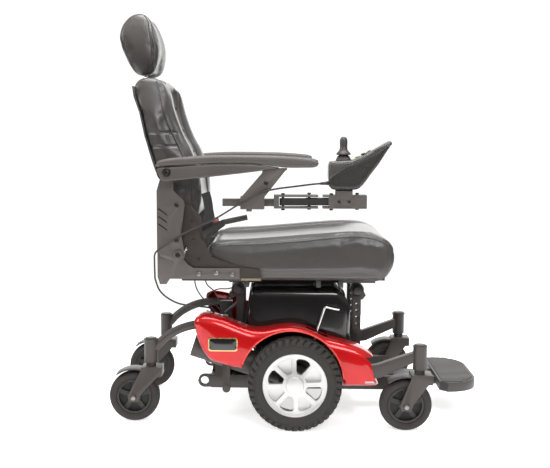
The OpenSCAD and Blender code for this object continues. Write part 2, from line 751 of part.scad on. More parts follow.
// Boot, stem and knob, which tilt together about the ball's centre
module joystick_stick() {
    c = [stick_ball[0], stick_y, stick_ball[1]];
    color(BLACK) difference() {
        union() {
            translate(c) sphere(stick_ball_r);
            translate(c) cylinder(r = 6, h = 40);
            translate(c + [0, 0, 36]) cylinder(r1 = 8, r2 = 15, h = 14);
            translate(c + [0, 0, 50]) cylinder(r = 15, h = 10);
            translate(c + [0, 0, 60]) cylinder(r1 = 15, r2 = 9, h = 7);
        }
        translate(c) sphere(6 + 2 * play);
        translate(c + [-30, -30, -40]) cube([60, 60, 28]);
    }
}

// ---- Lead from the joystick to the base, split where it crosses a joint, with each end cut back a little ----

lead_r = 2.6;
wire_r = 1.8;
lead_end = 0.7;
joystick_route = [[89.5, -276, 722], [60, -276, 720], [10, -276, 714], [-22, -276.5, 710], [-40, -280, 708]];
arm_route = [[-40, -280, 708], [-56, -288.5, 706], [-73, -297.3, 703], [-96, -297.3, 697], [-120, -297.3, 686],
    [-158, -297.3, 665], [-232, -280, 619], [-300, -268, 587]];
back_route = [[-300, -268, 587], [-334, -262, 569], [-370, -260, 545], [-397, -258, 527], [-409, -250, 512], [-411, -242, 490]];
base_route = [[-411, -242, 490], [-411, -236, 440], [-400, -228, 405], [-377, -222, 380], [-339, -214, 360],
    [-285, -200, 351], [-250, -180, 341], [-228, -160, 318]];
seat_wires = [
    [[-300, -190, 436], [-292, -188, 400], [-268, -182, 366], [-235, -170, 348], [-215, -150, 318]],
    [[-270, -180, 436], [-262, -176, 412], [-240, -170, 390], [-228, -160, 362], [-212, -140, 316]],
    [[-168, -170, 430], [-178, -166, 408], [-200, -160, 398], [-235, -152, 394], [-262, -148, 372], [-246, -140, 330],
        [-222, -132, 314]]];

module lead_base() {
    color(BLACK) {
        cable(base_route, lead_r);
        for (w = seat_wires) cable(w, wire_r);
    }
}

module lead_back() {
    color(BLACK) cable(back_route, lead_r);
}

module lead_arm() {
    color(BLACK) cable(arm_route, lead_r);
}

module lead_link() {
    color(BLACK) cable(joystick_route, lead_r);
}

base_frame();
batteries();
battery_cover();
power_module();
on("right") shroud();  // shroud_right
on("left") shroud();  // shroud_left
on("right") gearmotor();  // gearmotor_right
on("left") gearmotor();  // gearmotor_left
on("right") freewheel_lever();  // freewheel_lever_right
on("left") freewheel_lever();  // freewheel_lever_left
seat_posts();
footplate_bracket();
footplate();
on("right") front_arm();  // front_arm_right
on("left") front_arm();  // front_arm_left
on("right") rear_arm();  // rear_arm_right
on("left") rear_arm();  // rear_arm_left
at_swivel("front", "right") caster_fork(front_trail);  // caster_fork_fr
at_swivel("front", "left") caster_fork(front_trail);  // caster_fork_fl
at_swivel("rear", "right") caster_fork(rear_trail);  // caster_fork_rr
at_swivel("rear", "left") caster_fork(rear_trail);  // caster_fork_rl
at_swivel("front", "right") caster_rim(front_trail);  // caster_rim_fr
at_swivel("front", "left") caster_rim(front_trail);  // caster_rim_fl
at_swivel("rear", "right") caster_rim(rear_trail);  // caster_rim_rr
at_swivel("rear", "left") caster_rim(rear_trail);  // caster_rim_rl
at_swivel("front", "right") caster_tyre(front_trail);  // caster_tyre_fr
at_swivel("front", "left") caster_tyre(front_trail);  // caster_tyre_fl
at_swivel("rear", "right") caster_tyre(rear_trail);  // caster_tyre_rr
at_swivel("rear", "left") caster_tyre(rear_trail);  // caster_tyre_rl
on("right") drive_rim();  // drive_rim_right
on("left") drive_rim();  // drive_rim_left
on("right") drive_tyre();  // drive_tyre_right
on("left") drive_tyre();  // drive_tyre_left
seat_frame();
seat_pan();
seat_cushion();
seat_side_plates();
lap_belt();
back_side_plates();
back_shell();
back_cushion();
recline_lever();
headrest_posts();
headrest_cushion();
on("right") armrest_body();  // armrest_body_right
on("left") armrest_body();  // armrest_body_left
on("right") armrest_pad();  // armrest_pad_right
on("left") armrest_pad();  // armrest_pad_left
joystick_bracket();
joystick_tube();
swing_link(outer_pins, stick_y - link_offset, 0);  // swing_link_outer
swing_link(inner_pins, stick_y + link_offset, gap);  // swing_link_inner
joystick_carrier();
joystick_housing();
joystick_gimbal();
joystick_stick();
lead_base();
lead_back();
lead_arm();
lead_link();
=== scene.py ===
"""Looks of a power wheelchair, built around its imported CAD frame. +X is forward, the user's right is -Y, metres."""

import math

import bmesh
import bpy
import numpy as np
from mathutils import Matrix, Vector
from mathutils.bvhtree import BVHTree
from mathutils.geometry import delaunay_2d_cdt


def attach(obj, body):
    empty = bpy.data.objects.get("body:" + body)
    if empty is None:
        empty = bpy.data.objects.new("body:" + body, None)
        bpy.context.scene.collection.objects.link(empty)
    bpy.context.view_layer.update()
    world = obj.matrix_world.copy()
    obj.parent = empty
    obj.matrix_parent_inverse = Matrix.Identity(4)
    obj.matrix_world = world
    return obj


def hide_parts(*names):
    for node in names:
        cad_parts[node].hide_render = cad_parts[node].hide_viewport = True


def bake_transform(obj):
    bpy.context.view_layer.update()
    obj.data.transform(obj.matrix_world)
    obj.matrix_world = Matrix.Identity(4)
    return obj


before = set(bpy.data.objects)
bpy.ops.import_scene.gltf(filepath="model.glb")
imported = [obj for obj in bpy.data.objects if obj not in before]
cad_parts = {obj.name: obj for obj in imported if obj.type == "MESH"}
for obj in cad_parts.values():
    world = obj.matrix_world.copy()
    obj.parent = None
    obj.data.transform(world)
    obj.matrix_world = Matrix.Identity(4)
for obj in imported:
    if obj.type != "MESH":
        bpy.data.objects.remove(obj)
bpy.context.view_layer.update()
MM = 0.001
SIDES = {"right": -1, "left": 1}
CASTERS = ("fr", "fl", "rr", "rl")
scene = bpy.context.scene


# ---- Camera, light and floor ----

def make_camera():
    """A long lens a little above armrest height, square to the chair's right side."""
    yaw, pitch = 0.0439, 0.1053
    cam = bpy.data.objects.new("camera", bpy.data.cameras.new("camera"))
    ahead = Vector((-math.sin(yaw) * math.cos(pitch), math.cos(yaw) * math.cos(pitch), -math.sin(pitch)))
    cam.location = (-0.0435, -2.915, 0.855)
    cam.rotation_mode = "QUATERNION"
    cam.rotation_quaternion = ahead.to_track_quat("-Z", "Y")
    cam.data.sensor_width = 36
    cam.data.lens = 60.7
    cam.data.shift_x = 0.0636
    scene.collection.objects.link(cam)
    scene.camera = cam


def make_light(name, place, target, size, power):
    light = bpy.data.lights.new(name, "AREA")
    light.shape = "RECTANGLE"
    light.size, light.size_y, light.energy = size[0], size[1], power
    lamp = bpy.data.objects.new(name, light)
    lamp.location = place
    lamp.rotation_mode = "QUATERNION"
    lamp.rotation_quaternion = (Vector(target) - Vector(place)).to_track_quat("-Z", "Y")
    scene.collection.objects.link(lamp)


def make_studio():
    """A white backdrop, a sky that is bright overhead and dim at its sides, and four soft boxes."""
    world = bpy.data.worlds.new("studio")
    scene.world = world
    world.use_nodes = True
    tree = world.node_tree
    dome = tree.nodes["Background"]
    dome.inputs["Color"].default_value = (1.0, 0.99, 0.98, 1)
    at = tree.nodes.new("ShaderNodeTexCoord")
    height = tree.nodes.new("ShaderNodeSeparateXYZ")
    ramp = tree.nodes.new("ShaderNodeMapRange")
    for socket, value in (("From Min", 0.0), ("From Max", 0.85), ("To Min", 0.10), ("To Max", 0.75)):
        ramp.inputs[socket].default_value = value
    tree.links.new(at.outputs["Generated"], height.inputs[0])
    tree.links.new(height.outputs["Z"], ramp.inputs["Value"])
    tree.links.new(ramp.outputs["Result"], dome.inputs["Strength"])
    backdrop = tree.nodes.new("ShaderNodeBackground")
    backdrop.inputs["Color"].default_value = (1, 1, 1, 1)
    backdrop.inputs["Strength"].default_value = 1.1
    either = tree.nodes.new("ShaderNodeMixShader")
    rays = tree.nodes.new("ShaderNodeLightPath")
    tree.links.new(rays.outputs["Is Camera Ray"], either.inputs[0])
    tree.links.new(dome.outputs[0], either.inputs[1])
    tree.links.new(backdrop.outputs[0], either.inputs[2])
    tree.links.new(either.outputs[0], tree.nodes["World Output"].inputs["Surface"])
    make_light("overhead", (0.1, -0.4, 3.2), (0, 0, 0.4), (2.2, 1.5), 105)
    make_light("front", (0.9, -3.2, 2.3), (0, 0, 0.5), (1.6, 1.0), 52)
    make_light("backdrop", (0, 3.0, 1.2), (0, 0, 0.6), (4.4, 2.4), 60)
    make_light("rear_rim", (-2.6, -0.9, 1.7), (-0.3, 0, 0.7), (0.8, 1.6), 30)
    scene.view_settings.view_transform = "Standard"


# ---- Shader maths and materials ----

class Value:
    """A shader socket: each operator adds its Math node."""

    def __init__(self, paint, socket):
        self.paint, self.socket = paint, socket

    def math(self, operation, a, b):
        return self.paint.add("ShaderNodeMath", {"operation": operation}, {0: a, 1: b})

    def __add__(self, other):
        return self.math("ADD", self, other)

    __radd__ = __add__

    def __mul__(self, other):
        return self.math("MULTIPLY", self, other)

    __rmul__ = __mul__


class Paint:
    """A material on a Principled shader, with one method for any node."""

    def __init__(self, name, colour, roughness, metallic=0.0, coat=0.0, coat_roughness=0.05, sheen=0.0):
        self.material = bpy.data.materials.new(name)
        self.material.use_nodes = True
        self.tree = self.material.node_tree
        self.shader = self.tree.nodes["Principled BSDF"]
        self.colour = colour
        self.put("Base Color", (*colour, 1))
        self.put("Roughness", roughness)
        self.put("Metallic", metallic)
        self.put("Coat Weight", coat)
        self.put("Coat Roughness", coat_roughness)
        self.put("Sheen Weight", sheen)
        self.material.diffuse_color = (*colour, 1)

    def put(self, socket, value):
        if isinstance(value, Value):
            self.tree.links.new(value.socket, self.shader.inputs[socket])
        else:
            self.shader.inputs[socket].default_value = value

    def add(self, kind, settings=None, sockets=None, out=0):
        node = self.tree.nodes.new(kind)
        for key, value in (settings or {}).items():
            if key == "stops":
                ramp = node.color_ramp
                ramp.elements[0].position, ramp.elements[0].color = value[0][0], (*value[0][1], 1)
                ramp.elements[1].position, ramp.elements[1].color = value[-1][0], (*value[-1][1], 1)
                for place, colour in value[1:-1]:
                    ramp.elements.new(place).color = (*colour, 1)
            else:
                setattr(node, key, value)
        for key, value in (sockets or {}).items():
            if isinstance(value, Value):
                self.tree.links.new(value.socket, node.inputs[key])
            else:
                node.inputs[key].default_value = value
        return Value(self, node.outputs[out])

    def place(self, stretch=(1, 1, 1)):
        at = self.add("ShaderNodeTexCoord", out="Object")
        return self.add("ShaderNodeMapping", {"vector_type": "POINT"}, {"Vector": at, "Scale": stretch})

    def noise(self, scale, detail=3.0, stretch=(1, 1, 1)):
        return self.add("ShaderNodeTexNoise", {}, {"Vector": self.place(stretch), "Scale": scale, "Detail": detail})

    def cells(self, scale, feature="F1", stretch=(1, 1, 1)):
        return self.add("ShaderNodeTexVoronoi", {"feature": feature}, {"Vector": self.place(stretch), "Scale": scale})

    def shades(self, mask, *colours):
        """Colours along a mask, evenly spaced."""
        stops = [(i / (len(colours) - 1), c) for i, c in enumerate(colours)]
        self.put("Base Color", self.add("ShaderNodeValToRGB", {"stops": stops}, {"Fac": mask}))

    def bump(self, height, depth, strength=1.0):
        self.put("Normal", self.add("ShaderNodeBump", {}, {"Height": height, "Distance": depth, "Strength": strength}))


def tint(colour, share):
    return tuple(min(1.0, c * share) for c in colour)


def powder_coat(name, colour, roughness=0.42):
    """Baked powder paint: fine orange peel, a little dust, and colour that drifts slightly."""
    p = Paint(name, colour, roughness)
    drift = p.noise(5.0, 4)
    peel = p.noise(900.0, 2)
    p.shades(drift, tint(colour, 0.82), colour, tint(colour, 1.22))
    p.put("Roughness", roughness - 0.08 + 0.16 * drift)
    p.bump(peel, 0.00025, 0.6)
    return p.material


def moulded(name, colour, roughness=0.5, grain=700.0, coat=0.0):
    """Injection-moulded plastic with a fine leather-like grain."""
    p = Paint(name, colour, roughness, coat=coat)
    drift = p.noise(9.0, 3)
    p.shades(drift, tint(colour, 0.85), colour, tint(colour, 1.15))
    p.put("Roughness", roughness - 0.06 + 0.12 * drift)
    p.bump(p.cells(grain), 0.00022, 0.7)
    return p.material


def gloss_black():
    """High-gloss cover: near-black with faint fine swirls in its polish."""
    colour = (0.006, 0.005, 0.005)
    p = Paint("gloss_black", colour, 0.12, coat=0.6)
    haze = p.noise(14.0, 5)
    p.shades(haze, tint(colour, 0.7), colour, tint(colour, 1.8))
    p.put("Roughness", 0.10 + 0.12 * haze)
    p.bump(p.noise(40.0, 2), 0.0004, 0.15)
    return p.material


def candy_red():
    """Translucent red over bright metal flake, under a clear coat."""
    colour = (0.47, 0.004, 0.006)
    p = Paint("candy_red", colour, 0.30, metallic=0.35, coat=0.8, coat_roughness=0.04)
    p.put("Specular IOR Level", 0.1)
    flake = p.cells(2600.0)
    depth = p.noise(3.5, 3)
    p.shades(flake * 0.35 + depth * 0.65, (0.34, 0.002, 0.003), colour, (0.58, 0.008, 0.009))
    p.put("Roughness", 0.24 + 0.12 * flake)
    p.bump(p.noise(60.0, 2), 0.0002, 0.2)
    return p.material


def bright_metal(name, colour, roughness, scratch=0.12):
    p = Paint(name, colour, roughness, metallic=1.0)
    streak = p.noise(120.0, 4, (1, 1, 8))
    p.shades(p.noise(20.0, 3), tint(colour, 0.86), colour, tint(colour, 1.06))
    p.put("Roughness", roughness - scratch / 2 + scratch * streak)
    p.bump(streak, 0.0001, 0.25)
    return p.material


def rim_paint():
    """Silver wheel lacquer with metallic flake and a random mottle of brake dust."""
    colour = (0.56, 0.55, 0.55)
    p = Paint("rim_paint", colour, 0.34, metallic=0.55, coat=0.35, coat_roughness=0.15)
    dust = p.noise(16.0, 5)
    p.shades(dust, (0.42, 0.41, 0.40), colour, (0.66, 0.66, 0.66))
    p.put("Roughness", 0.28 + 0.2 * dust)
    p.bump(p.cells(1800.0), 0.0001, 0.3)
    return p.material


def tyre_rubber(name, colour):
    """Black rubber, dusty and faintly mottled, with a matt grain."""
    p = Paint(name, colour, 0.78)
    dust = p.noise(22.0, 6)
    p.shades(dust, tint(colour, 0.75), colour, tint(colour, 1.7))
    p.put("Roughness", 0.66 + 0.22 * dust)
    p.bump(p.noise(500.0, 4), 0.0005, 0.6)
    return p.material


VINYL = (0.046, 0.041, 0.038)


def vinyl(name, colour=VINYL):
    """Upholstery vinyl: pebble grain over soft creases, shinier where it is stretched."""
    p = Paint(name, colour, 0.36, coat=0.45, coat_roughness=0.30, sheen=0.03)
    pebble = p.cells(520.0)
    fine = p.noise(1100.0, 3)
    crease = p.noise(26.0, 5, (1.0, 1.6, 1.0))
    p.shades(p.noise(4.0, 3), tint(colour, 0.86), colour, tint(colour, 1.25))
    p.put("Roughness", 0.30 + 0.14 * crease)
    p.bump(pebble * 0.5 + fine * 0.2 + crease * 1.1, 0.0011, 0.55)
    return p.material


def webbing():
    """Woven polyester strap: ribs along it and a finer cross weave."""
    colour = (0.016, 0.015, 0.015)
    p = Paint("webbing", colour, 0.75, sheen=0.25)
    rib = p.add("ShaderNodeTexWave", {"bands_direction": "X"}, {"Vector": p.place(), "Scale": 160.0})
    weft = p.add("ShaderNodeTexWave", {"bands_direction": "Z"}, {"Vector": p.place(), "Scale": 240.0})
    p.shades(rib * 0.5 + weft * 0.5, tint(colour, 0.6), colour, tint(colour, 2.4))
    p.bump(rib + weft * 0.6, 0.0006, 0.8)
    return p.material


MATERIALS = {}


def make_materials():
    m = MATERIALS
    m["frame"] = powder_coat("frame_paint", (0.042, 0.035, 0.031))
    m["plate"] = powder_coat("plate_paint", (0.092, 0.080, 0.073), 0.46)
    m["arm"] = moulded("arm_plastic", (0.078, 0.069, 0.064), 0.44)
    m["pad"] = moulded("pad_urethane", (0.088, 0.078, 0.072), 0.50, 480.0)
    m["black"] = moulded("black_plastic", (0.017, 0.015, 0.013), 0.45)
    m["brown"] = moulded("pan_plastic", (0.030, 0.021, 0.016), 0.55)
    # This near-black plastic is painted shade: it colours the caster web, the swing links and a sheet behind a slot,
    # where only shade shows.
    m["painted_shade"] = moulded("painted_shade_plastic", (0.010, 0.009, 0.008), 0.6)
    m["tan"] = moulded("tan_edge", (0.20, 0.165, 0.105), 0.55)
    m["grey"] = moulded("grey_plastic", (0.052, 0.046, 0.043), 0.46)
    # pod_shell is coloured darker than pod_panel: painted shade for the concave scoop under the pod's upper shell.
    m["shell"] = moulded("pod_shell", (0.022, 0.019, 0.018), 0.40)
    m["panel"] = moulded("pod_panel", (0.062, 0.058, 0.056), 0.32)
    m["motor"] = powder_coat("motor_casting", (0.040, 0.033, 0.029), 0.48)
    m["gloss"] = gloss_black()
    m["red"] = candy_red()
    m["chrome"] = bright_metal("chrome", (0.72, 0.71, 0.70), 0.16)
    m["zinc"] = bright_metal("zinc", (0.34, 0.32, 0.30), 0.36)
    m["blackened"] = bright_metal("blackened_bolt", (0.06, 0.055, 0.05), 0.42)
    m["gold"] = bright_metal("badge_gold", (0.62, 0.50, 0.22), 0.28)
    m["rim"] = rim_paint()
    # This lighter red is a painted highlight: it colours the bead along the shroud's arch lip.
    m["red_painted_highlight"] = powder_coat("red_edge_painted_highlight", (0.75, 0.06, 0.04), 0.3)
    m["thread"] = moulded("thread", (0.085, 0.078, 0.072), 0.7, 1500.0)
    m["tyre"] = tyre_rubber("drive_rubber", (0.019, 0.016, 0.014))
    m["caster"] = tyre_rubber("caster_rubber", (0.022, 0.018, 0.016))
    m["vinyl"] = vinyl("vinyl")
    m["piping"] = vinyl("piping", (0.034, 0.030, 0.028))
    m["webbing"] = webbing()
    m["cord"] = moulded("lead_rubber", (0.030, 0.027, 0.025), 0.5, 1500.0)
    sweep = Paint("floor", (0.9, 0.9, 0.9), 0.8)
    sweep.put("Emission Color", (1, 1, 1, 1))
    sweep.put("Emission Strength", 0.62)
    m["floor"] = sweep.material
    m["button_red"] = moulded("red_button", (0.55, 0.03, 0.02), 0.35)
    m["green"] = moulded("green_light", (0.10, 0.32, 0.08), 0.3)
    m["yellow"] = moulded("yellow_light", (0.55, 0.40, 0.05), 0.3)


# ---- Meshes ----

def linked(name, mesh):
    piece = bpy.data.objects.new(name, mesh)
    scene.collection.objects.link(piece)
    return piece


def mesh_piece(name, points, faces):
    mesh = bpy.data.meshes.new(name)
    mesh.from_pydata([tuple(p) for p in points], [], faces)
    mesh.validate()
    return linked(name, mesh)


def from_bmesh(name, bm):
    mesh = bpy.data.meshes.new(name)
    bm.to_mesh(mesh)
    bm.free()
    return linked(name, mesh)


def applied(piece):
    """The piece with its modifiers made into its mesh."""
    graph = bpy.context.evaluated_depsgraph_get()
    graph.update()
    mesh = bpy.data.meshes.new_from_object(piece.evaluated_get(graph))
    piece.modifiers.clear()
    old = piece.data
    piece.data = mesh
    bpy.data.meshes.remove(old)
    return piece


def modified(piece, kind, **settings):
    modifier = piece.modifiers.new(kind.lower(), kind)
    for key, value in settings.items():
        setattr(modifier, key, value)
    return applied(piece)


def smooth_shade(piece, angle=38):
    piece.data.shade_smooth()
    piece.data.set_sharp_from_angle(angle=math.radians(angle))
    return piece


def recalculated(piece):
    bm = bmesh.new()
    bm.from_mesh(piece.data)
    bmesh.ops.remove_doubles(bm, verts=bm.verts, dist=1e-6)
    bmesh.ops.recalc_face_normals(bm, faces=bm.faces)
    bm.to_mesh(piece.data)
    bm.free()
    return piece


def rounded_edges(piece, width, segments=3, angle=32):
    modified(piece, "BEVEL", width=width, segments=segments, limit_method="ANGLE",
             angle_limit=math.radians(angle), use_clamp_overlap=True)
    return smooth_shade(piece)


def dress(piece, material, body, slot, *nodes):
    """Gives a piece its finish and the body it rides on, and hides the CAD nodes it stands for."""
    piece.data.materials.clear()
    piece.data.materials.append(MATERIALS[material])
    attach(piece, body)
    if nodes:
        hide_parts(*nodes)
    return piece


def cad_copy(node, name):
    """A merged copy of a CAD node's mesh, with flat faces whole again."""
    piece = linked(name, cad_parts[node].data.copy())
    bm = bmesh.new()
    bm.from_mesh(piece.data)
    bmesh.ops.remove_doubles(bm, verts=bm.verts, dist=2e-6)
    bmesh.ops.dissolve_limit(bm, angle_limit=math.radians(0.6), verts=bm.verts, edges=bm.edges)
    bm.to_mesh(piece.data)
    bm.free()
    return piece


def softened(node, material, body, slot, width=1.0, segments=2):
    """A CAD node with its sharp edges rounded, as paint and casting leave them."""
    piece = rounded_edges(cad_copy(node, node + "_skin"), width * MM, segments)
    return dress(piece, material, body, slot, node)


def lathe(name, profile, centre, axis="Y", steps=96):
    """A turned solid: a closed profile of (radius, along) pairs about an axis through centre, in millimetres."""
    points, faces = [], []
    n = len(profile)
    for k in range(steps):
        a = 2 * math.pi * k / steps
        for r, h in profile:
            x, z = r * math.cos(a), r * math.sin(a)
            points.append((Vector(centre) + (Vector((x, h, z)) if axis == "Y" else Vector((x, z, h)))) * MM)
    for k in range(steps):
        for i in range(n):
            j, m = (i + 1) % n, (k + 1) % steps
            if profile[i][0] or profile[j][0]:
                faces.append((k * n + i, k * n + j, m * n + j, m * n + i))
    return smooth_shade(recalculated(mesh_piece(name, points, faces)))


def swept(name, line, radius, sides=12, smooth_steps=6):
    """A round bar along a smooth line through given points."""
    line = [Vector(p) for p in line]
    path = []
    for i in range(len(line) - 1):
        a, b, c, d = line[max(i - 1, 0)], line[i], line[i + 1], line[min(i + 2, len(line) - 1)]
        for s in range(smooth_steps):
            t = s / smooth_steps
            path.append(0.5 * (2 * b + (c - a) * t + (2 * a - 5 * b + 4 * c - d) * t * t
                               + (3 * b - a - 3 * c + d) * t ** 3))
    path.append(line[-1])
    points, faces = [], []
    up = None
    for i, p in enumerate(path):
        along = (path[min(i + 1, len(path) - 1)] - path[max(i - 1, 0)]).normalized()
        if up is None:
            up = along.orthogonal().normalized()
        up = (up - along * up.dot(along)).normalized()
        side = along.cross(up)
        for k in range(sides):
            a = 2 * math.pi * k / sides
            points.append(p + radius * (math.cos(a) * up + math.sin(a) * side))
    for i in range(len(path) - 1):
        for k in range(sides):
            m = (k + 1) % sides
            faces.append((i * sides + k, i * sides + m, (i + 1) * sides + m, (i + 1) * sides + k))
    faces.append(tuple(range(sides - 1, -1, -1)))
    faces.append(tuple((len(path) - 1) * sides + k for k in range(sides)))
    return smooth_shade(recalculated(mesh_piece(name, points, faces)), 50)


def joined(name, *parts):
    bm = bmesh.new()
    for part in parts:
        bm.from_mesh(part.data)
        bpy.data.objects.remove(part)
    return smooth_shade(from_bmesh(name, bm))


def cut(piece, *cutters):
    for cutter in cutters:
        modified(piece, "BOOLEAN", operation="DIFFERENCE", solver="EXACT", object=cutter)
        bpy.data.objects.remove(cutter)
    return piece


def block(name, low, high):
    bm = bmesh.new()
    bmesh.ops.create_cube(bm, size=1)
    low, high = Vector(low), Vector(high)
    for v in bm.verts:
        v.co = [(low[i] + high[i]) / 2 + v.co[i] * (high[i] - low[i]) for i in range(3)]
    return from_bmesh(name, bm)


def side_block(name, side, low, high):
    """A block between two corners in millimetres, its Y counted outwards from the middle on one side."""
    pair = [(x, SIDES[side] * y, z) for x, y, z in (low, high)]
    return block(name, *([pick(ends) * MM for ends in zip(*pair)] for pick in (min, max)))


# ---- Geometry Nodes: what repeats ----

def repeat_tree(name):
    """Copies of an object: one for each of a number of equal turns, or one at each point of a mesh."""
    tree = bpy.data.node_groups.new(name, "GeometryNodeTree")
    for label, kind in (("Geometry", "Geometry"), ("Part", "Object"), ("Material", "Material"), ("Count", "Int"),
                        ("Turn", "Float"), ("Centre", "Vector")):
        tree.interface.new_socket(label, in_out="INPUT", socket_type="NodeSocket" + kind)
    tree.interface.new_socket("Geometry", in_out="OUTPUT", socket_type="NodeSocketGeometry")
    return tree


class Tree:
    def __init__(self, tree):
        self.tree = tree
        self.start = tree.nodes.new("NodeGroupInput")
        self.end = tree.nodes.new("NodeGroupOutput")

    def add(self, kind, settings=None, sockets=None):
        node = self.tree.nodes.new(kind)
        for key, value in (settings or {}).items():
            setattr(node, key, value)
        for key, value in (sockets or {}).items():
            if isinstance(value, bpy.types.NodeSocket):
                self.tree.links.new(value, node.inputs[key])
            else:
                node.inputs[key].default_value = value
        return node


def build_round_tree():
    tree = repeat_tree("turned_copies")
    t = Tree(tree)
    start = t.start.outputs
    line = t.add("GeometryNodeMeshLine", {"mode": "OFFSET"}, {"Count": start["Count"], "Offset": (0, 0, 0)})
    index = t.add("GeometryNodeInputIndex")
    angle = t.add("ShaderNodeMath", {"operation": "MULTIPLY"}, {0: index.outputs[0], 1: start["Turn"]})
    turn = t.add("ShaderNodeCombineXYZ", {}, {"Y": angle.outputs[0]})
    part = t.add("GeometryNodeObjectInfo", {}, {"Object": start["Part"]})
    copies = t.add("GeometryNodeInstanceOnPoints", {}, {
        "Points": line.outputs["Mesh"], "Instance": part.outputs["Geometry"], "Rotation": turn.outputs[0]})
    real = t.add("GeometryNodeRealizeInstances", {}, {"Geometry": copies.outputs[0]})
    moved = t.add("GeometryNodeTransform", {}, {"Geometry": real.outputs[0], "Translation": start["Centre"]})
    done = t.add("GeometryNodeSetMaterial", {}, {"Geometry": moved.outputs[0], "Material": start["Material"]})
    tree.links.new(done.outputs[0], t.end.inputs[0])
    return tree


def build_point_tree():
    """Copies of a part at the points of a mesh, turned so that the part's Z follows the points' normals."""
    tree = repeat_tree("set_copies")
    t = Tree(tree)
    start = t.start.outputs
    normal = t.add("GeometryNodeInputNamedAttribute", {"data_type": "FLOAT_VECTOR"}, {"Name": "way"})
    turn = t.add("FunctionNodeAlignRotationToVector", {"axis": "Z"}, {"Vector": normal.outputs["Attribute"]})
    part = t.add("GeometryNodeObjectInfo", {}, {"Object": start["Part"]})
    copies = t.add("GeometryNodeInstanceOnPoints", {}, {
        "Points": start["Geometry"], "Instance": part.outputs["Geometry"], "Rotation": turn.outputs[0]})
    real = t.add("GeometryNodeRealizeInstances", {}, {"Geometry": copies.outputs[0]})
    done = t.add("GeometryNodeSetMaterial", {}, {"Geometry": real.outputs[0], "Material": start["Material"]})
    tree.links.new(done.outputs[0], t.end.inputs[0])
    return tree


TREES = {"round": build_round_tree(), "points": build_point_tree()}


def repeated(holder, kind, part, material, **values):
    """Runs a tree on the holder and keeps its result as a plain mesh."""
    tree = TREES[kind]
    modifier = holder.modifiers.new(kind, "NODES")
    modifier.node_group = tree
    for item in tree.interface.items_tree:
        if item.in_out == "INPUT":
            value = {"Part": part, "Material": MATERIALS[material], **values}.get(item.name)
            if value is not None:
                modifier[item.identifier] = value
    applied(holder)
    bpy.data.objects.remove(part)
    return smooth_shade(holder)


def around(name, part, count, centre, material):
    holder = mesh_piece(name, [(0, 0, 0)], [])
    return repeated(holder, "round", part, material, Count=count, Turn=2 * math.pi / count, Centre=centre)


def at_points(name, part, points, ways, material):
    holder = mesh_piece(name, points, [])
    way = holder.data.attributes.new("way", "FLOAT_VECTOR", "POINT")
    way.data.foreach_set("vector", np.array(ways, np.float32).ravel())
    return repeated(holder, "points", part, material)


def socket_screw(radius, height):
    """A button-head screw with a hexagon socket, standing along Z from the origin."""
    profile = [(0, 0), (radius, 0), (radius, height * 0.35), (radius * 0.85, height * 0.8), (radius * 0.5, height),
               (radius * 0.42, height), (radius * 0.42, height * 0.45), (0, height * 0.45)]
    return lathe("screw_part", profile, (0, 0, 0), "Z", 18)


def screws(name, points, way, radius, body, slot, material="blackened"):
    """Screws at (x, y, z) millimetre points, all facing one way."""
    places = [Vector(p) * MM for p in points]
    piece = at_points(name, socket_screw(radius, radius * 0.6), places, [way] * len(places), material)
    return dress(piece, material, body, slot)


# ---- Plates and shells from a side outline ----

def arc(centre, radius, first, last, steps):
    turns = [math.radians(first + (last - first) * i / steps) for i in range(steps + 1)]
    return [(centre[0] + radius * math.cos(a), centre[1] + radius * math.sin(a)) for a in turns]


def flowing(points, spacing, closed=True):
    """A smooth line through given points, in even steps."""
    n = len(points)
    pts = [np.array(p, float) for p in points]
    at = (lambda i: pts[i % n]) if closed else (lambda i: pts[min(max(i, 0), n - 1)])
    line = []
    for i in range(n if closed else n - 1):
        a, b, c, d = at(i - 1), at(i), at(i + 1), at(i + 2)
        steps = max(2, int(np.linalg.norm(c - b) / spacing))
        for s in range(steps):
            t = s / steps
            line.append(0.5 * (2 * b + (c - a) * t + (2 * a - 5 * b + 4 * c - d) * t * t
                               + (3 * b - a - 3 * c + d) * t ** 3))
    if not closed:
        line.append(pts[-1])
    return np.array(line)


def distance_to(points, line, closed=True):
    """How far each point is from a line of points."""
    a = line
    b = np.roll(line, -1, axis=0) if closed else line[1:]
    if not closed:
        a = line[:-1]
    v = b - a
    length = np.maximum((v * v).sum(1), 1e-12)
    best = np.full(len(points), 1e9)
    for i in range(len(a)):
        t = np.clip(((points - a[i]) @ v[i]) / length[i], 0, 1)
        best = np.minimum(best, np.linalg.norm(points - (a[i] + t[:, None] * v[i]), axis=1))
    return best


def filled(outline, spacing, rings):
    """Triangles inside an outline, with rows of points at set distances from its edge."""
    n = len(outline)
    tangent = np.roll(outline, -1, axis=0) - np.roll(outline, 1, axis=0)
    area = 0.5 * np.sum(outline[:, 0] * np.roll(outline[:, 1], -1) - np.roll(outline[:, 0], -1) * outline[:, 1])
    inward = np.stack([-tangent[:, 1], tangent[:, 0]], 1) * np.sign(area)
    inward /= np.maximum(np.linalg.norm(inward, axis=1), 1e-9)[:, None]
    inner = [np.zeros((0, 2))]
    for d in rings:
        row = outline + inward * d
        inner.append(row[distance_to(row, outline) > d * 0.93])
    low, high = outline.min(0), outline.max(0)
    grid = np.stack(np.meshgrid(np.arange(low[0], high[0], spacing), np.arange(low[1], high[1], spacing)), -1)
    grid = grid.reshape(-1, 2)
    grid[:, 0] += 0.013 * spacing
    reach = (rings[-1] if len(rings) else 0) + spacing * 0.6
    inner.append(grid[distance_to(grid, outline) > reach])
    points = np.concatenate([outline] + inner)
    out = delaunay_2d_cdt([Vector(p) for p in points], [], [list(range(n))], 1, 1e-4)
    return np.array([tuple(v) for v in out[0]]), [tuple(f) for f in out[2]]


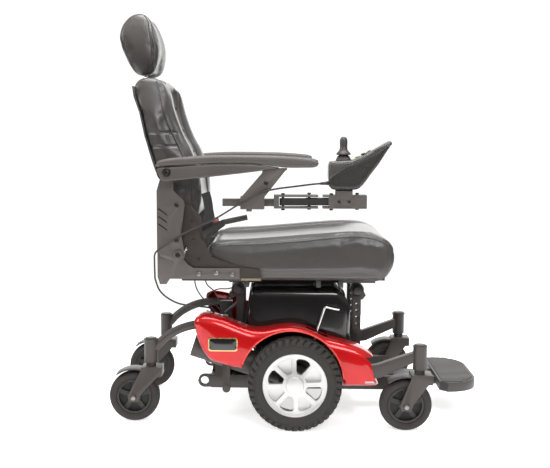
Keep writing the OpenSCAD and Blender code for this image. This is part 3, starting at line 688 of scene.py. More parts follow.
def slab(name, outline, near, far, drop_near, drop_far, spacing=6.0, rings=(1.0, 3.0, 6.0, 10.0, 15.0), open_far=False):
    """An outline in X and Z given depth along Y, its two faces falling away towards the edge as the drops say."""
    points, faces = filled(outline, spacing, rings)
    away = distance_to(points, outline)
    shape, polygons = [], []
    n = len(points)
    sign = 1 if far > near else -1
    for level, drop, way in ((near, drop_near, sign), (far, drop_far, -sign)):
        fall = drop(points, away)
        shape += [Vector((p[0], level + way * f, p[1])) * MM for p, f in zip(points, fall)]
    edges = {}
    for face in faces:
        for i in range(3):
            edges[(face[i], face[(i + 1) % 3])] = True
        polygons.append(face)
        if not open_far:
            polygons.append(tuple(i + n for i in reversed(face)))
    for i, j in edges:
        if (j, i) not in edges:
            polygons.append((j, i, i + n, j + n))
    return recalculated(mesh_piece(name, shape, polygons))


def rounding(radius):
    """A quarter round along the edge of a face."""
    def drop(points, away):
        d = np.clip(away, 0, radius)
        return radius - np.sqrt(np.maximum(radius ** 2 - (radius - d) ** 2, 0))
    return drop


def flat(points, away):
    return np.zeros(len(points))


# ---- Drive wheels ----

AXLE_Z = 137
AXLE_R = 10
TYRE_IN = 230
TYRE_WIDTH = 70
TREAD_TOP = 137
SHOULDER = 15


def tread_height(y):
    """Radius of the tread blocks' tops across the tyre, from its inner face."""
    edge = min(y, TYRE_WIDTH - y)
    return TREAD_TOP - SHOULDER + math.sqrt(max(SHOULDER ** 2 - max(SHOULDER - edge, 0) ** 2, 0))


def lug(name, first, last, turn, half, depth, steps=4):
    """One tread block across part of the tyre, slanted by a turn, with its sides leaning in to its top."""
    points, faces = [], []
    for i in range(steps + 1):
        y = first + (last - first) * i / steps
        middle = turn * (i / steps - 0.5)
        top = tread_height(y) - (1.0 if i in (0, steps) else 0)
        for radius, wide in ((top - depth, half * 1.25), (top, half * 0.85)):
            for way in (-1, 1):
                a = math.radians(middle + way * wide)
                points.append(Vector((radius * math.sin(a), y - TYRE_WIDTH / 2, radius * math.cos(a))) * MM)
    for i in range(steps):
        a, b = 4 * i, 4 * i + 4
        faces += [(a, a + 2, b + 2, b), (a + 2, a + 3, b + 3, b + 2), (a + 3, a + 1, b + 1, b + 3),
                  (a + 1, a, b, b + 1)]
    last_ring = 4 * steps
    faces += [(0, 1, 3, 2), (last_ring, last_ring + 2, last_ring + 3, last_ring + 1)]
    return recalculated(mesh_piece(name, points, faces))


def drive_tyre(side):
    centre = Vector((0, SIDES[side] * (TYRE_IN + TYRE_WIDTH / 2), AXLE_Z))
    profile = [(93, 27), (95.5, 32), (98.5, 34), (105, 34.6), (112, 35), (115.5, 34.2), (116.5, 33), (118, 33.4),
               (121, 32), (125.5, 27), (129.5, 21), (131.5, 15)]
    ring = profile + [(r, -y) for r, y in reversed(profile)]
    carcass = lathe("carcass", ring, centre, steps=144)
    rows = []
    count = 40
    for i, (first, last, turn, wide) in enumerate(((1.0, 19, 5.0, 2.6), (17.5, 36.5, -6.0, 2.2),
                                                   (33.5, 52.5, 6.0, 2.2), (51, 69.0, -5.0, 2.6))):
        part = lug("lug_part", first, last, turn, wide, 8.0 if i in (0, 3) else 6.0)
        part.data.transform(Matrix.Rotation(math.radians(360 / count * (0.5 if i % 2 else 0)), 4, "Y"))
        rows.append(around("lugs", part, count, centre * MM, "tyre"))
    tyre = joined("drive_tyre_skin_" + side, carcass, *rows)
    return dress(tyre, "tyre", "drive_wheel_" + side, "tyre_rubber", "drive_tyre_" + side)


POCKETS = 8


def pocket(name, centre, y, turn, low, high):
    """A cutter between two spokes: a sector with its corners taken off, between two distances out."""
    spoke, inner, outer = 4.5, 35, 79
    half_in, half_out = (r * math.sin(math.pi / POCKETS) - spoke for r in (inner, outer))
    outline = [(inner, half_in - 3), (inner + 3, half_in), (outer - 9, half_out - 4), (outer - 3, half_out - 8),
               (outer, half_out - 15), (outer + 1.5, 0)]
    outline += [(r, -h) for r, h in reversed(outline[:-1])]
    points = []
    for level, grow in ((low, 0.94), (high, 1.04)):
        for r, h in outline:
            r = 57 + (r - 57) * grow
            x, z = r * math.cos(turn) - h * grow * math.sin(turn), r * math.sin(turn) + h * grow * math.cos(turn)
            points.append((centre + Vector((x, y * level, z))) * MM)
    n = len(outline)
    faces = [tuple(range(n)), tuple(range(2 * n - 1, n - 1, -1))]
    faces += [(i, (i + 1) % n, n + (i + 1) % n, n + i) for i in range(n)]
    return recalculated(mesh_piece(name, points, faces))


def drive_rim(side):
    """A cast wheel: eight sloped pockets between narrow spokes, every other one open, in a flat outer ring."""
    y = SIDES[side]
    centre = Vector((0, y * (TYRE_IN + TYRE_WIDTH / 2), AXLE_Z))
    profile = [(0, 32), (21, 32), (24.5, 31), (26, 28.5), (26.4, 26), (31, 25.6), (33, 24.8), (80, 23.6), (82, 25.4),
               (90.5, 26), (91.2, 28.6), (93, 29), (93, -29), (88, -29), (87, 10), (32, 10), (30, -23), (0, -23)]
    body = lathe("drive_rim_skin_" + side, [(r, y * h) for r, h in profile], centre)
    turns = [math.radians(25) + 2 * math.pi * i / POCKETS for i in range(POCKETS)]
    cut(body, *[pocket("pocket", centre, y, turn, 4 if i % 2 else 14, 34) for i, turn in enumerate(turns)])
    return dress(rounded_edges(body, 1.0 * MM, 2), "rim", "drive_wheel_" + side, "rim_silver", "drive_rim_" + side)


def drive_wheel(side):
    drive_tyre(side)
    drive_rim(side)
    profile = [(0, 150), (AXLE_R, 150), (AXLE_R, 244), (0, 244)]
    stub = lathe("axle_" + side, [(r, SIDES[side] * h) for r, h in profile], (0, 0, AXLE_Z), steps=32)
    dress(stub, "zinc", "drive_wheel_" + side, "rim_silver")


# ---- Casters ----

CASTER_R = 76


def caster_place(key):
    """A caster's side, and the middle of its wheel."""
    side = "right" if key[1] == "r" else "left"
    x, y, trail = (363, 252, 40) if key[0] == "f" else (-431, 192, 50)
    return side, Vector((x - trail, SIDES[side] * y, CASTER_R))


def caster(key):
    side, centre = caster_place(key)
    profile = [(52, 16), (54, 19.5), (58, 21.4), (62, 22), (66, 21.2), (68, 20.4), (70, 19.6), (73.5, 15.5), (75.3, 11),
               (75.6, 9.4), (74.2, 8.8), (74.2, 7.4), (75.7, 6.8), (76, 3.0), (76, 0.9), (74.8, 0.5)]
    ring = profile + [(r, -y) for r, y in reversed(profile)]
    tyre = lathe("caster_tyre_skin_" + key, ring, centre)
    dress(tyre, "caster", "caster_" + key, "caster_rubber", "caster_tyre_" + key)
    softened("caster_rim_" + key, "black", "caster_" + key, "grey_plastic", 1.4, 3)
    # Painted shade: a near-black disc inside the caster rim, darker than the rim, stands in for the shade in its
    # recess.
    web = lathe("caster_web_" + key, [(18, 2), (47, 2), (47, -2), (18, -2)], centre)
    dress(web, "painted_shade", "caster_" + key, "grey_plastic")
    softened("caster_fork_" + key, "frame", "fork_" + key, "frame_paint", 1.0, 2)
    for way in (-1, 1):
        name = "axle_nut_{}_{}".format(key, "out" if way == SIDES[side] else "in")
        screws(name, [centre + Vector((0, way * 35.5, 0))], (0, way, 0), 7.0, "fork_" + key, "frame_paint", "zinc")


# ---- Suspension and base ----

def base_and_arms():
    for node, material, slot, width in (
            ("base_frame", "frame", "frame_paint", 1.5), ("batteries", "black", "battery_case", 3.0),
            ("power_module", "black", "black_plastic", 2.0), ("seat_posts", "frame", "frame_paint", 1.2),
            ("footplate_bracket", "frame", "frame_paint", 1.5), ("seat_frame", "frame", "frame_paint", 1.2),
            ("gearmotor_right", "motor", "motor_casting", 1.6), ("gearmotor_left", "motor", "motor_casting", 1.6),
            ("seat_pan", "brown", "black_plastic", 0.8), ("seat_side_plates", "plate", "plate_paint", 0.8)):
        softened(node, material, "base", slot, width)
    for side in SIDES:
        softened("front_arm_" + side, "frame", "front_arm_" + side, "frame_paint", 2.5, 3)
        softened("rear_arm_" + side, "frame", "rear_arm_" + side, "frame_paint", 2.0, 3)
    softened("footplate", "grey", "footplate", "grey_plastic", 1.0, 2)


def battery_cover():
    """The glossy cover, with generous rounds along its top edges."""
    outline = flowing([(-152, 228), (-150, 293), (-136, 385), (-134, 392), (-128, 399), (-118, 401), (-60, 402),
                       (60, 402), (118, 402), (134, 396), (146, 384), (159, 364), (165, 342), (166, 319), (165, 270),
                       (163, 228), (100, 228.5), (0, 228.5), (-100, 228.5)], 7)
    crown = rounding(20)

    def drop(points, away):
        low = np.clip((points[:, 1] - 228) / 30, 0, 1)
        return crown(points, away) * (0.15 + 0.85 * low) + 3.0 * (1 - np.clip(away / 60, 0, 1)) ** 2
    piece = smooth_shade(slab("battery_cover_skin", outline, -186, 186, drop, drop, 9.0), 60)
    dress(piece, "gloss", "base", "black_gloss", "battery_cover")


ARCH = (-10, 139)
ARCH_R = 151
FENDER_TOP = [(140, 126), (180, 126.4), (219, 127), (238, 129), (247, 138), (248, 152), (238, 196), (227, 216),
              (196, 237), (155, 252), (92, 268), (60, 283), (29, 295), (-9, 301), (-50, 298), (-93, 291),
              (-120, 291), (-148, 298), (-189, 314), (-217, 325), (-250, 332), (-275, 332.5), (-290, 325),
              (-296, 311), (-293, 288), (-279, 244), (-263, 217), (-244, 197), (-209, 186), (-180, 177), (-168, 178)]
FENDER_IN, FENDER_OUT = 188, 264.5


def shroud(side):
    """One moulded skin: a crowned side that rolls over to its top, cut away round the wheel."""
    edge = flowing(FENDER_TOP, 5, closed=False)
    wheel_arch = np.array(arc(ARCH, ARCH_R, 165.5, 5, 60))
    outline = np.concatenate([edge, wheel_arch])
    roll, lip = rounding(26), rounding(4)

    def drop(points, away):
        outer = distance_to(points, edge, closed=False)
        inner = np.abs(np.hypot(points[:, 0] - ARCH[0], points[:, 1] - ARCH[1]) - ARCH_R)
        return (0.8 * roll(points, outer) + lip(points, inner) * 0.8
                + 5.0 * (1 - np.clip(outer / 75, 0, 1)) ** 2)
    y = SIDES[side]
    shell = slab("shroud_skin_" + side, outline, y * FENDER_OUT, y * FENDER_IN, drop, flat, 6.0,
                 (1.0, 2.5, 5.0, 8.0, 12.0, 17.0), open_far=True)
    modified(shell, "SOLIDIFY", thickness=2.5 * MM, offset=-1, use_even_offset=False)
    motor = side_block("motor_hole", side, (-348, 150, -41), (-20, 229, 41))
    motor.data.transform(Matrix.Translation((0, 0, AXLE_Z * MM)) @ Matrix.Rotation(math.radians(17.5), 4, "Y"))
    openings = (((-310, 174, 262), (-255, 210, 324)), ((34, 192, 250), (96, 226, 300)),
                ((205, 180, 134), (262, 260, 214)))
    cut(shell, *[side_block("hole", side, low, high) for low, high in openings], motor)
    smooth_shade(shell, 40)
    dress(shell, "red", "base", "shroud_red", "shroud_" + side)
    # The arch lip bead is coloured a lighter red than the shroud: a painted highlight along the lip's edge.
    bead = swept("arch_lip_" + side, [Vector((x, y * 262.5, z)) * MM for x, z in arc(ARCH, ARCH_R + 1.6, 160, 4, 30)],
                 2.4 * MM, 10, 2)
    dress(bead, "red_painted_highlight", "base", "shroud_red")
    badge(side)


def badge(side):
    """A plain plate on the rear lobe: a dark field in a gold border, with no lettering."""
    y = SIDES[side]
    for name, half, high, out, material in (("badge_border_", 43, 20, 264.9, "gold"),
                                            ("badge_field_", 40, 17, 265.6, "gloss")):
        corner = 7
        outline = []
        for cx, cz, first in ((half - corner, high - corner, 0), (corner - half, high - corner, 90),
                              (corner - half, corner - high, 180), (half - corner, corner - high, 270)):
            outline += arc((-210 + cx, 250 + cz), corner, first, first + 90, 5)
        plate = slab(name + side, np.array(outline), y * out, y * (out - 3), rounding(0.8), rounding(0.1), 8,
                     (0.4, 0.9))
        dress(smooth_shade(plate), material, "base", "shroud_red")


def freewheel_levers():
    route = [(20, 196), (36, 221), (54, 249), (58, 256), (62, 270), (68, 290), (77, 319), (86, 346), (89, 351),
             (94, 352.5), (104, 350), (118, 347), (130, 345)]
    for side in SIDES:
        y = SIDES[side] * 209
        rod = swept("lever_rod", [Vector((x, y, z)) * MM for x, z in route], 3.3 * MM, 14, 3)
        boss = lathe("lever_boss", [(4, -5.5), (7.4, -5.5), (8, -4.8), (8, 4.8), (7.4, 5.5), (4, 5.5)], (20, y, 196),
                     steps=32)
        piece = joined("freewheel_rod_" + side, rod, boss)
        dress(piece, "chrome", "freewheel_" + side, "chrome", "freewheel_lever_" + side)


# ---- Upholstery ----

def points_of(piece):
    co = np.empty(len(piece.data.vertices) * 3)
    piece.data.vertices.foreach_get("co", co)
    return co.reshape(-1, 3)


def set_points(piece, co):
    piece.data.vertices.foreach_set("co", co.ravel())
    piece.data.update()


def normals_of(piece):
    normals = np.empty(len(piece.data.vertices) * 3)
    piece.data.vertex_normals.foreach_get("vector", normals)
    return normals.reshape(-1, 3)


def faces_away(piece, way, least):
    """How much each point of a mesh faces one way, from 0 to 1."""
    return np.clip((normals_of(piece) @ np.array(way) - least) / (1 - least), 0, 1)


def swollen(piece, pressure, cap):
    """Lets cloth swell a cushion, no point moving further than the cap."""
    start = points_of(piece)
    cloth = piece.modifiers.new("cloth", "CLOTH")
    cloth.settings.use_pressure = True
    cloth.settings.uniform_pressure_force = pressure
    cloth.settings.effector_weights.gravity = 0
    cloth.settings.quality = 5
    cloth.settings.tension_stiffness = 15
    cloth.settings.bending_stiffness = 0.6
    cloth.settings.air_damping = 2
    cloth.collision_settings.use_collision = False
    cloth.point_cache.frame_start, cloth.point_cache.frame_end = 1, 20
    for frame_number in range(1, 21):
        scene.frame_set(frame_number)
    applied(piece)
    moved = points_of(piece) - start
    far = np.linalg.norm(moved, axis=1)
    share = np.minimum(1, cap * MM / np.maximum(far, 1e-9))
    set_points(piece, start + moved * share[:, None])
    scene.frame_set(1)
    return modified(piece, "SMOOTH", factor=0.5, iterations=4)


def step(value, low, high):
    t = np.clip((value - low) / (high - low), 0, 1)
    return t * t * (3 - 2 * t)


def grooved(piece, lines, half_width, depth):
    """Sinks narrow channels along lines on the surface."""
    co, normals = points_of(piece), normals_of(piece)
    sink = np.zeros(len(co))
    for line in lines:
        if len(line) < 2:
            continue
        line = np.array(line)
        low, high = line.min(0) - half_width, line.max(0) + half_width
        near = np.nonzero(((co > low) & (co < high)).all(1))[0]
        away = distance_to(co[near], line, closed=False)
        sink[near] = np.maximum(sink[near], depth * np.clip(1 - away / half_width, 0, 1) ** 1.5)
    set_points(piece, co - normals * sink[:, None])
    return piece


def laid_on(piece, points, way, lift):
    """A line of millimetre points dropped on to a piece along one direction, then lifted off its surface."""
    tree = BVHTree.FromObject(piece, bpy.context.evaluated_depsgraph_get())
    way = Vector(way)
    line = []
    for p in points:
        start = Vector(p) * MM - way * 0.5
        hit, normal, _, _ = tree.ray_cast(start, way, 1.2)
        if hit is not None:
            line.append(hit + normal * lift * MM)
    return line


def stitched(name, lines, body, pitch=5.0):
    """A row of raised thread stitches along lines on the upholstery."""
    places, ways = [], []
    for line in lines:
        for a, b in zip(line[:-1], line[1:]):
            span = (b - a).length
            for k in range(max(1, int(span / (pitch * MM)))):
                places.append(a.lerp(b, (k + 0.5) / max(1, int(span / (pitch * MM)))))
                ways.append((b - a).normalized())
    thread = lathe("thread", [(0, -1.7), (0.5, -1.2), (0.62, 0), (0.5, 1.2), (0, 1.7)], (0, 0, 0), "Z", 6)
    piece = at_points(name, thread, places, ways, "thread")
    return dress(piece, "thread", body, "vinyl")


def seat_cushion():
    """A dished seat between two side bolsters, with a welt round its top edge and a rolled front."""
    outline = flowing([(-206, 434), (-100, 433.5), (60, 433.5), (200, 433.5), (256, 437), (277, 457), (289, 488),
                       (289, 525), (283, 542), (266, 558), (229, 569), (191, 573), (140, 572), (85, 568), (13, 562),
                       (-110, 552), (-190, 548), (-236, 546), (-252, 541), (-256, 532), (-252, 505), (-232, 468)], 8)
    round_edge = rounding(13)
    piece = slab("seat_cushion_skin", outline, -231, 231, round_edge, round_edge, 14.0)
    modified(piece, "REMESH", mode="VOXEL", voxel_size=5 * MM)
    co = points_of(piece)
    up = faces_away(piece, (0, 0, 1), 0.2)
    dish = 1 - step(np.abs(co[:, 1]) / MM, 128, 186)
    behind_roll = 1 - step(co[:, 0] / MM, 130, 240)
    co[:, 2] -= up * dish * (3 + 17 * behind_roll) * MM
    set_points(piece, co)
    swollen(piece, 4.0, 4.0)
    modified(piece, "SUBSURF", levels=1, render_levels=1)
    welts, seams = [], []
    top = [(-249, 532), (-190, 537), (-110, 540), (13, 549), (85, 557), (157, 563), (203, 562), (240, 554), (268, 540),
           (281, 520)]
    for y in (-1, 1):
        line = flowing([(x, y * 300, z) for x, z in top], 8, closed=False)
        welts.append(laid_on(piece, line, (0, -y, 0), 0.6))
        low = flowing([(x, y * 300, z + 7) for x, z in top[:-1]], 8, closed=False)
        seams.append(laid_on(piece, low, (0, -y, 0), 0.0))
        inner = flowing([(-215, y * 158, 700), (-60, y * 162, 700), (120, y * 160, 700), (235, y * 150, 700)], 8,
                        closed=False)
        seams.append(laid_on(piece, inner, (0, 0, -1), 0.0))
    seams.append(laid_on(piece, [(400, y, 520) for y in range(-222, 223, 8)], (-1, 0, 0), 0.0))
    grooved(piece, seams, 7 * MM, 2.6 * MM)
    smooth_shade(piece, 80)
    dress(piece, "vinyl", "base", "vinyl", "seat_cushion")
    ribbons = [swept("welt", line[::2] + [line[-1]], 2.7 * MM, 10, 3) for line in welts]
    dress(joined("seat_welts", *ribbons), "piping", "base", "vinyl")
    stitched("seat_stitches", seams, "base")


def back_cushion():
    """A tall back with bolsters down its sides, a boxed edge and two sewn channels."""
    outline = flowing([(-372, 605), (-380, 700), (-404, 737), (-440, 853), (-455, 922), (-470, 970), (-474, 1000),
                       (-466, 1019), (-446, 1028), (-414, 1027.5), (-399, 1020), (-386, 1003), (-376, 978), (-366, 935),
                       (-350, 886), (-332, 844), (-314, 811), (-291, 745), (-284, 694), (-286, 627), (-297, 606)], 8)
    round_edge = rounding(18)
    piece = slab("back_cushion_skin", outline, -209, 209, round_edge, round_edge, 14.0)
    modified(piece, "REMESH", mode="VOXEL", voxel_size=5 * MM)
    co = points_of(piece)
    ahead = faces_away(piece, (1, 0, 0.15), 0.25)
    middle = 1 - step(np.abs(co[:, 1]) / MM, 92, 150)
    high = co[:, 2] / MM
    lumbar = 0.55 + 0.45 * step(high, 700, 860)
    waist = step(high, 620, 700) * (1 - step(high, 985, 1022))
    co[:, 0] -= ahead * middle * lumbar * waist * 26 * MM
    narrow = 1 - 0.10 * step(high, 930, 1025)
    co[:, 1] *= narrow
    set_points(piece, co)
    swollen(piece, 4.0, 7.0)
    modified(piece, "SUBSURF", levels=1, render_levels=1)
    edge = [(-408, 1014), (-397, 972), (-385, 922), (-367, 876), (-334, 806), (-309, 736), (-302, 660), (-306, 622)]
    welts, seams = [], []
    for y in (-1, 1):
        welts.append(laid_on(piece, flowing([(x, y * 300, z) for x, z in edge], 8, closed=False), (0, -y, 0), 0.4))
        for z_back, z_front in ((864, 866), (823, 828)):
            rung = [(x, y * 300, z_back + (z_front - z_back) * (x + 430) / 110) for x in range(-428, -346, 8)]
            seams.append(laid_on(piece, rung, (0, -y, 0), 0.0))
        inner = [(0, y * (128 - 18 * math.sin((z - 620) / 380 * math.pi)), z) for z in range(622, 1004, 8)]
        seams.append(laid_on(piece, inner, (-1, 0, 0), 0.0))
    for z in (735, 800, 866, 935):
        seams.append(laid_on(piece, [(0, y, z + 6 * (y / 100) ** 2) for y in range(-106, 107, 8)], (-1, 0, 0), 0.0))
    grooved(piece, seams, 7 * MM, 2.6 * MM)
    smooth_shade(piece, 80)
    tubes = []
    for way in (-1, 1):
        foot = Vector((-462, way * 60, 1045)) * MM
        tilt = Matrix.Translation(foot) @ Matrix.Rotation(math.radians(-15), 4, "Y")
        tube = lathe("post_hole", [(0, -150), (9.5, -150), (9.5, 30), (0, 30)], (0, 0, 0), "Z", 24)
        tube.data.transform(tilt)
        tubes.append(tube)
    cut(piece, *tubes)
    smooth_shade(piece, 80)
    dress(piece, "vinyl", "backrest", "vinyl", "back_cushion")
    ribbons = [swept("welt", line[::2] + [line[-1]], 2.7 * MM, 10, 3) for line in welts]
    dress(joined("back_welts", *ribbons), "piping", "backrest", "vinyl")
    stitched("back_stitches", seams, "backrest")


def headrest():
    """An oval pillow on two posts, with a boxed edge and a sewn seam down each side."""
    outline = flowing([(-440, 1041), (-469, 1037), (-490, 1051), (-514, 1099), (-528, 1135), (-531, 1157), (-522, 1189),
                       (-503, 1212), (-486, 1221), (-467, 1224), (-451, 1217), (-438, 1200), (-425, 1164), (-415, 1127),
                       (-414, 1096), (-418, 1069), (-426, 1050)], 7)
    round_edge = rounding(18)
    piece = slab("headrest_skin", outline, -106, 106, round_edge, round_edge, 12.0, (1, 3, 6, 10, 15, 21))
    modified(piece, "REMESH", mode="VOXEL", voxel_size=4.5 * MM)
    co = points_of(piece)
    wide = 1 - 0.14 * step(co[:, 2] / MM, 1150, 1225) - 0.10 * (1 - step(co[:, 2] / MM, 1035, 1085))
    co[:, 1] *= wide
    ahead = faces_away(piece, (1, 0, 0.2), 0.3)
    co[:, 0] -= ahead * (1 - step(np.abs(co[:, 1]) / MM, 10, 70)) * 9 * MM
    set_points(piece, co)
    swollen(piece, 4.0, 6.0)
    modified(piece, "SUBSURF", levels=1, render_levels=1)
    edge = [(-452, 1214), (-441, 1196), (-436, 1163), (-430, 1127), (-430, 1096), (-434, 1070), (-442, 1050)]
    seams = []
    for y in (-1, 1):
        seams.append(laid_on(piece, flowing([(x, y * 200, z) for x, z in edge], 8, closed=False), (0, -y, 0), 0.0))
    grooved(piece, seams, 7 * MM, 3.0 * MM)
    smooth_shade(piece, 80)
    dress(piece, "vinyl", "headrest", "vinyl", "headrest_cushion")
    stitched("headrest_stitches", seams, "headrest")
    softened("headrest_posts", "chrome", "headrest", "chrome", 0.5)


# ---- Seat hardware ----

def seat_hardware():
    softened("back_side_plates", "plate", "backrest", "plate_paint", 0.8)
    softened("back_shell", "vinyl", "backrest", "black_plastic", 1.0)
    softened("recline_lever", "black", "recline_lever", "black_plastic", 1.8, 3)
    for side in SIDES:
        y = SIDES[side]
        way = (0, y, 0)
        out = y * (246 + 1.4)
        screws("pan_screws_" + side, [(-281, out, 455), (-230, out, 458), (-183, out, 454)], way, 6.8, "base",
               "plate_paint", "zinc")
        out = y * (252 + 1.4)
        screws("back_screws_" + side, [(-344, out, 656), (-344, out, 554)], way, 6.8, "backrest", "plate_paint")
        screws("hinge_screws_" + side, [(-318, y * 246, 528), (-323, y * 246, 519)], way, 4.5, "base",
               "plate_paint", "chrome")
        screws("pan_rivets_" + side, [(-297, y * 240.5, 556), (-282, y * 240.5, 498), (-300, y * 240.5, 610)], way, 4.2,
               "base", "black_plastic")
        screws("hinge_cap_" + side, [(-341, y * 258, 511)], way, 8.0, "base", "plate_paint")
        screws("armrest_screw_" + side, [(-367, y * 298.2, 752)], way, 8.6, "armrest_" + side, "arm_plastic")
        # Painted shade: a near-black sheet just inside the back plate, showing as shade through its slot.
        shade_sheet = side_block("slot_backing_" + side, side, (-400, 246.2, 572), (-368, 246.9, 656))
        dress(shade_sheet, "painted_shade", "backrest", "plate_paint")
        edge = side_block("pan_edge_" + side, side, (-158, 238, 435), (-100, 242.4, 442))
        dress(rounded_edges(edge, 1 * MM), "tan", "base", "black_plastic")


def lap_belt():
    """Webbing on both sides, a push-button buckle on the right and its tongue on the left."""
    centre = [(-281, 484), (-272, 520), (-262, 560), (-256, 600), (-252, 640), (-256, 672), (-262, 692)]
    for side in SIDES:
        y = SIDES[side]
        line = flowing(centre if side == "right" else centre[:3], 6, closed=False)
        points, faces = [], []
        half, thick = 13, 1.1
        for i, p in enumerate(line):
            ahead = line[min(i + 1, len(line) - 1)] - line[max(i - 1, 0)]
            ahead /= np.linalg.norm(ahead)
            across = np.array([ahead[1], -ahead[0]])
            narrow = half - (3 if i < 3 else 0)
            bow = 0.9 * math.sin(i * 0.45)
            for u, v in ((-1, -1), (1, -1), (1, 1), (-1, 1)):
                q = p + across * narrow * u
                points.append(Vector((q[0], y * (235.6 + thick * v) + 0.3 * bow, q[1])) * MM)
        for i in range(len(line) - 1):
            for k in range(4):
                m = (k + 1) % 4
                faces.append((4 * i + k, 4 * i + m, 4 * i + 4 + m, 4 * i + 4 + k))
        end = 4 * (len(line) - 1)
        faces += [(3, 2, 1, 0), (end, end + 1, end + 2, end + 3)]
        strap = rounded_edges(recalculated(mesh_piece("belt_strap_" + side, points, faces)), 0.6 * MM, 2)
        dress(strap, "webbing", "base", "webbing", "lap_belt")
    case = slab("buckle_case", flowing([(-270, 568), (-249, 563), (-230, 562), (-225, 582), (-224, 602),
                                        (-242, 610), (-261, 613), (-266, 590)], 4),
                -220.5, -234.8, rounding(3), rounding(3), 6, (0.7, 1.6, 3))
    dress(smooth_shade(case), "grey", "base", "webbing")
    button = slab("buckle_button", flowing([(-254, 606), (-240, 603), (-228, 600), (-226, 610), (-240, 614),
                                            (-252, 617)], 3), -222.5, -233, rounding(2), rounding(2), 5, (0.7, 1.6))
    dress(smooth_shade(button), "button_red", "base", "webbing")
    tongue = slab("buckle_tongue", flowing([(-277, 552), (-257, 549), (-254, 572), (-273, 576)], 4), 231.2, 234.6,
                  rounding(0.8), rounding(0.8), 6, (0.4, 0.9))
    dress(smooth_shade(tongue), "zinc", "base", "webbing")


# ---- Armrests and joystick ----

def armrests():
    pad = flowing([(-395, 768), (-330, 772), (-250, 776.5), (-190, 777.5), (-134, 777), (-82, 772), (-30, 766.3),
                   (20, 766), (50, 767), (61, 773), (62, 782), (50, 791), (-30, 798), (-90, 800), (-151, 801),
                   (-212, 801), (-272, 799), (-358, 792), (-390, 785), (-396, 777)], 6)
    body = flowing([(-392, 764), (-393, 752), (-386, 738), (-375, 728), (-360, 728), (-300, 734), (-237, 740.5),
                    (-134, 752.5), (-90, 758.5), (-48, 764.6), (-60, 767.5), (-90, 771.5), (-134, 775), (-190, 776),
                    (-250, 774.3), (-320, 769.5)], 6)
    for side in SIDES:
        y = SIDES[side]
        top = slab("armrest_pad_skin_" + side, pad, y * 300, y * 254, rounding(9), rounding(9), 9, (0.7, 2, 4, 6.5, 9))
        dress(smooth_shade(top, 50), "pad", "armrest_" + side, "arm_plastic", "armrest_pad_" + side)
        low = slab("armrest_body_skin_" + side, body, y * 299.6, y * 254.4, rounding(5), rounding(5), 9,
                   (0.7, 2, 3.5, 5))
        dress(smooth_shade(low, 50), "arm", "armrest_" + side, "arm_plastic", "armrest_body_" + side)
        cup = lathe("pivot_cup_" + side, [(0, 0), (9.5, 0), (12.5, 0.8), (13, 0), (13, -4), (0, -4)], (0, 0, 0), "Z",
                    32)
        cup.data.transform(Matrix.Translation(Vector((-367, y * 299.8, 752)) * MM)
                           @ Vector((0, y, 0)).to_track_quat("Z", "Y").to_matrix().to_4x4())
        dress(recalculated(cup), "black", "armrest_" + side, "arm_plastic")


STICK_Y = -264
BALL = (134, STICK_Y, 786)


def swing_away():
    softened("joystick_bracket", "plate", "armrest_right", "plate_paint", 0.9)
    softened("joystick_tube", "plate", "joystick_slide", "plate_paint", 1.0)
    softened("joystick_carrier", "plate", "joystick_pod", "plate_paint", 1.0)
    # Painted shade: the swing links are coloured near-black, standing in for the shaded gap between their thin plates.
    softened("swing_link_outer", "painted_shade", "swing_outer", "plate_paint", 1.2, 3)
    softened("swing_link_inner", "painted_shade", "swing_inner", "plate_paint", 1.2, 3)
    for name, body, low, high in (
            ("tube_end_side", "joystick_slide", (-63.1, 286.3, 655), (-48, 287.2, 683)),
            ("carrier_side", "joystick_pod", (92, 286.3, 655), (200.1, 287.2, 683)),
            ("carrier_strap", "joystick_pod", (113, 286.9, 657), (159, 288.6, 700))):
        dress(side_block(name, "right", low, high), "plate", body, "plate_paint")
    for name, body, x_outer, x_inner in (("tube_nuts", "joystick_slide", -37, 38),
                                         ("carrier_nuts", "joystick_pod", 100, 175)):
        for way in (-1, 1):
            z = 690 if way > 0 else 648
            points = [(x_outer, STICK_Y - 12, z), (x_inner, STICK_Y + 12, z)]
            screws("{}_{}".format(name, "top" if way > 0 else "under"), points, (0, 0, way), 6.0, body, "plate_paint")
    screws("carrier_screws", [(x, STICK_Y - 24.6, 670) for x in (122, 150)], (0, -1, 0), 4.5, "joystick_pod",
           "plate_paint")
    screws("bracket_screw", [(-85, -296.6, 723)], (0, -1, 0), 6.2, "armrest_right", "plate_paint")


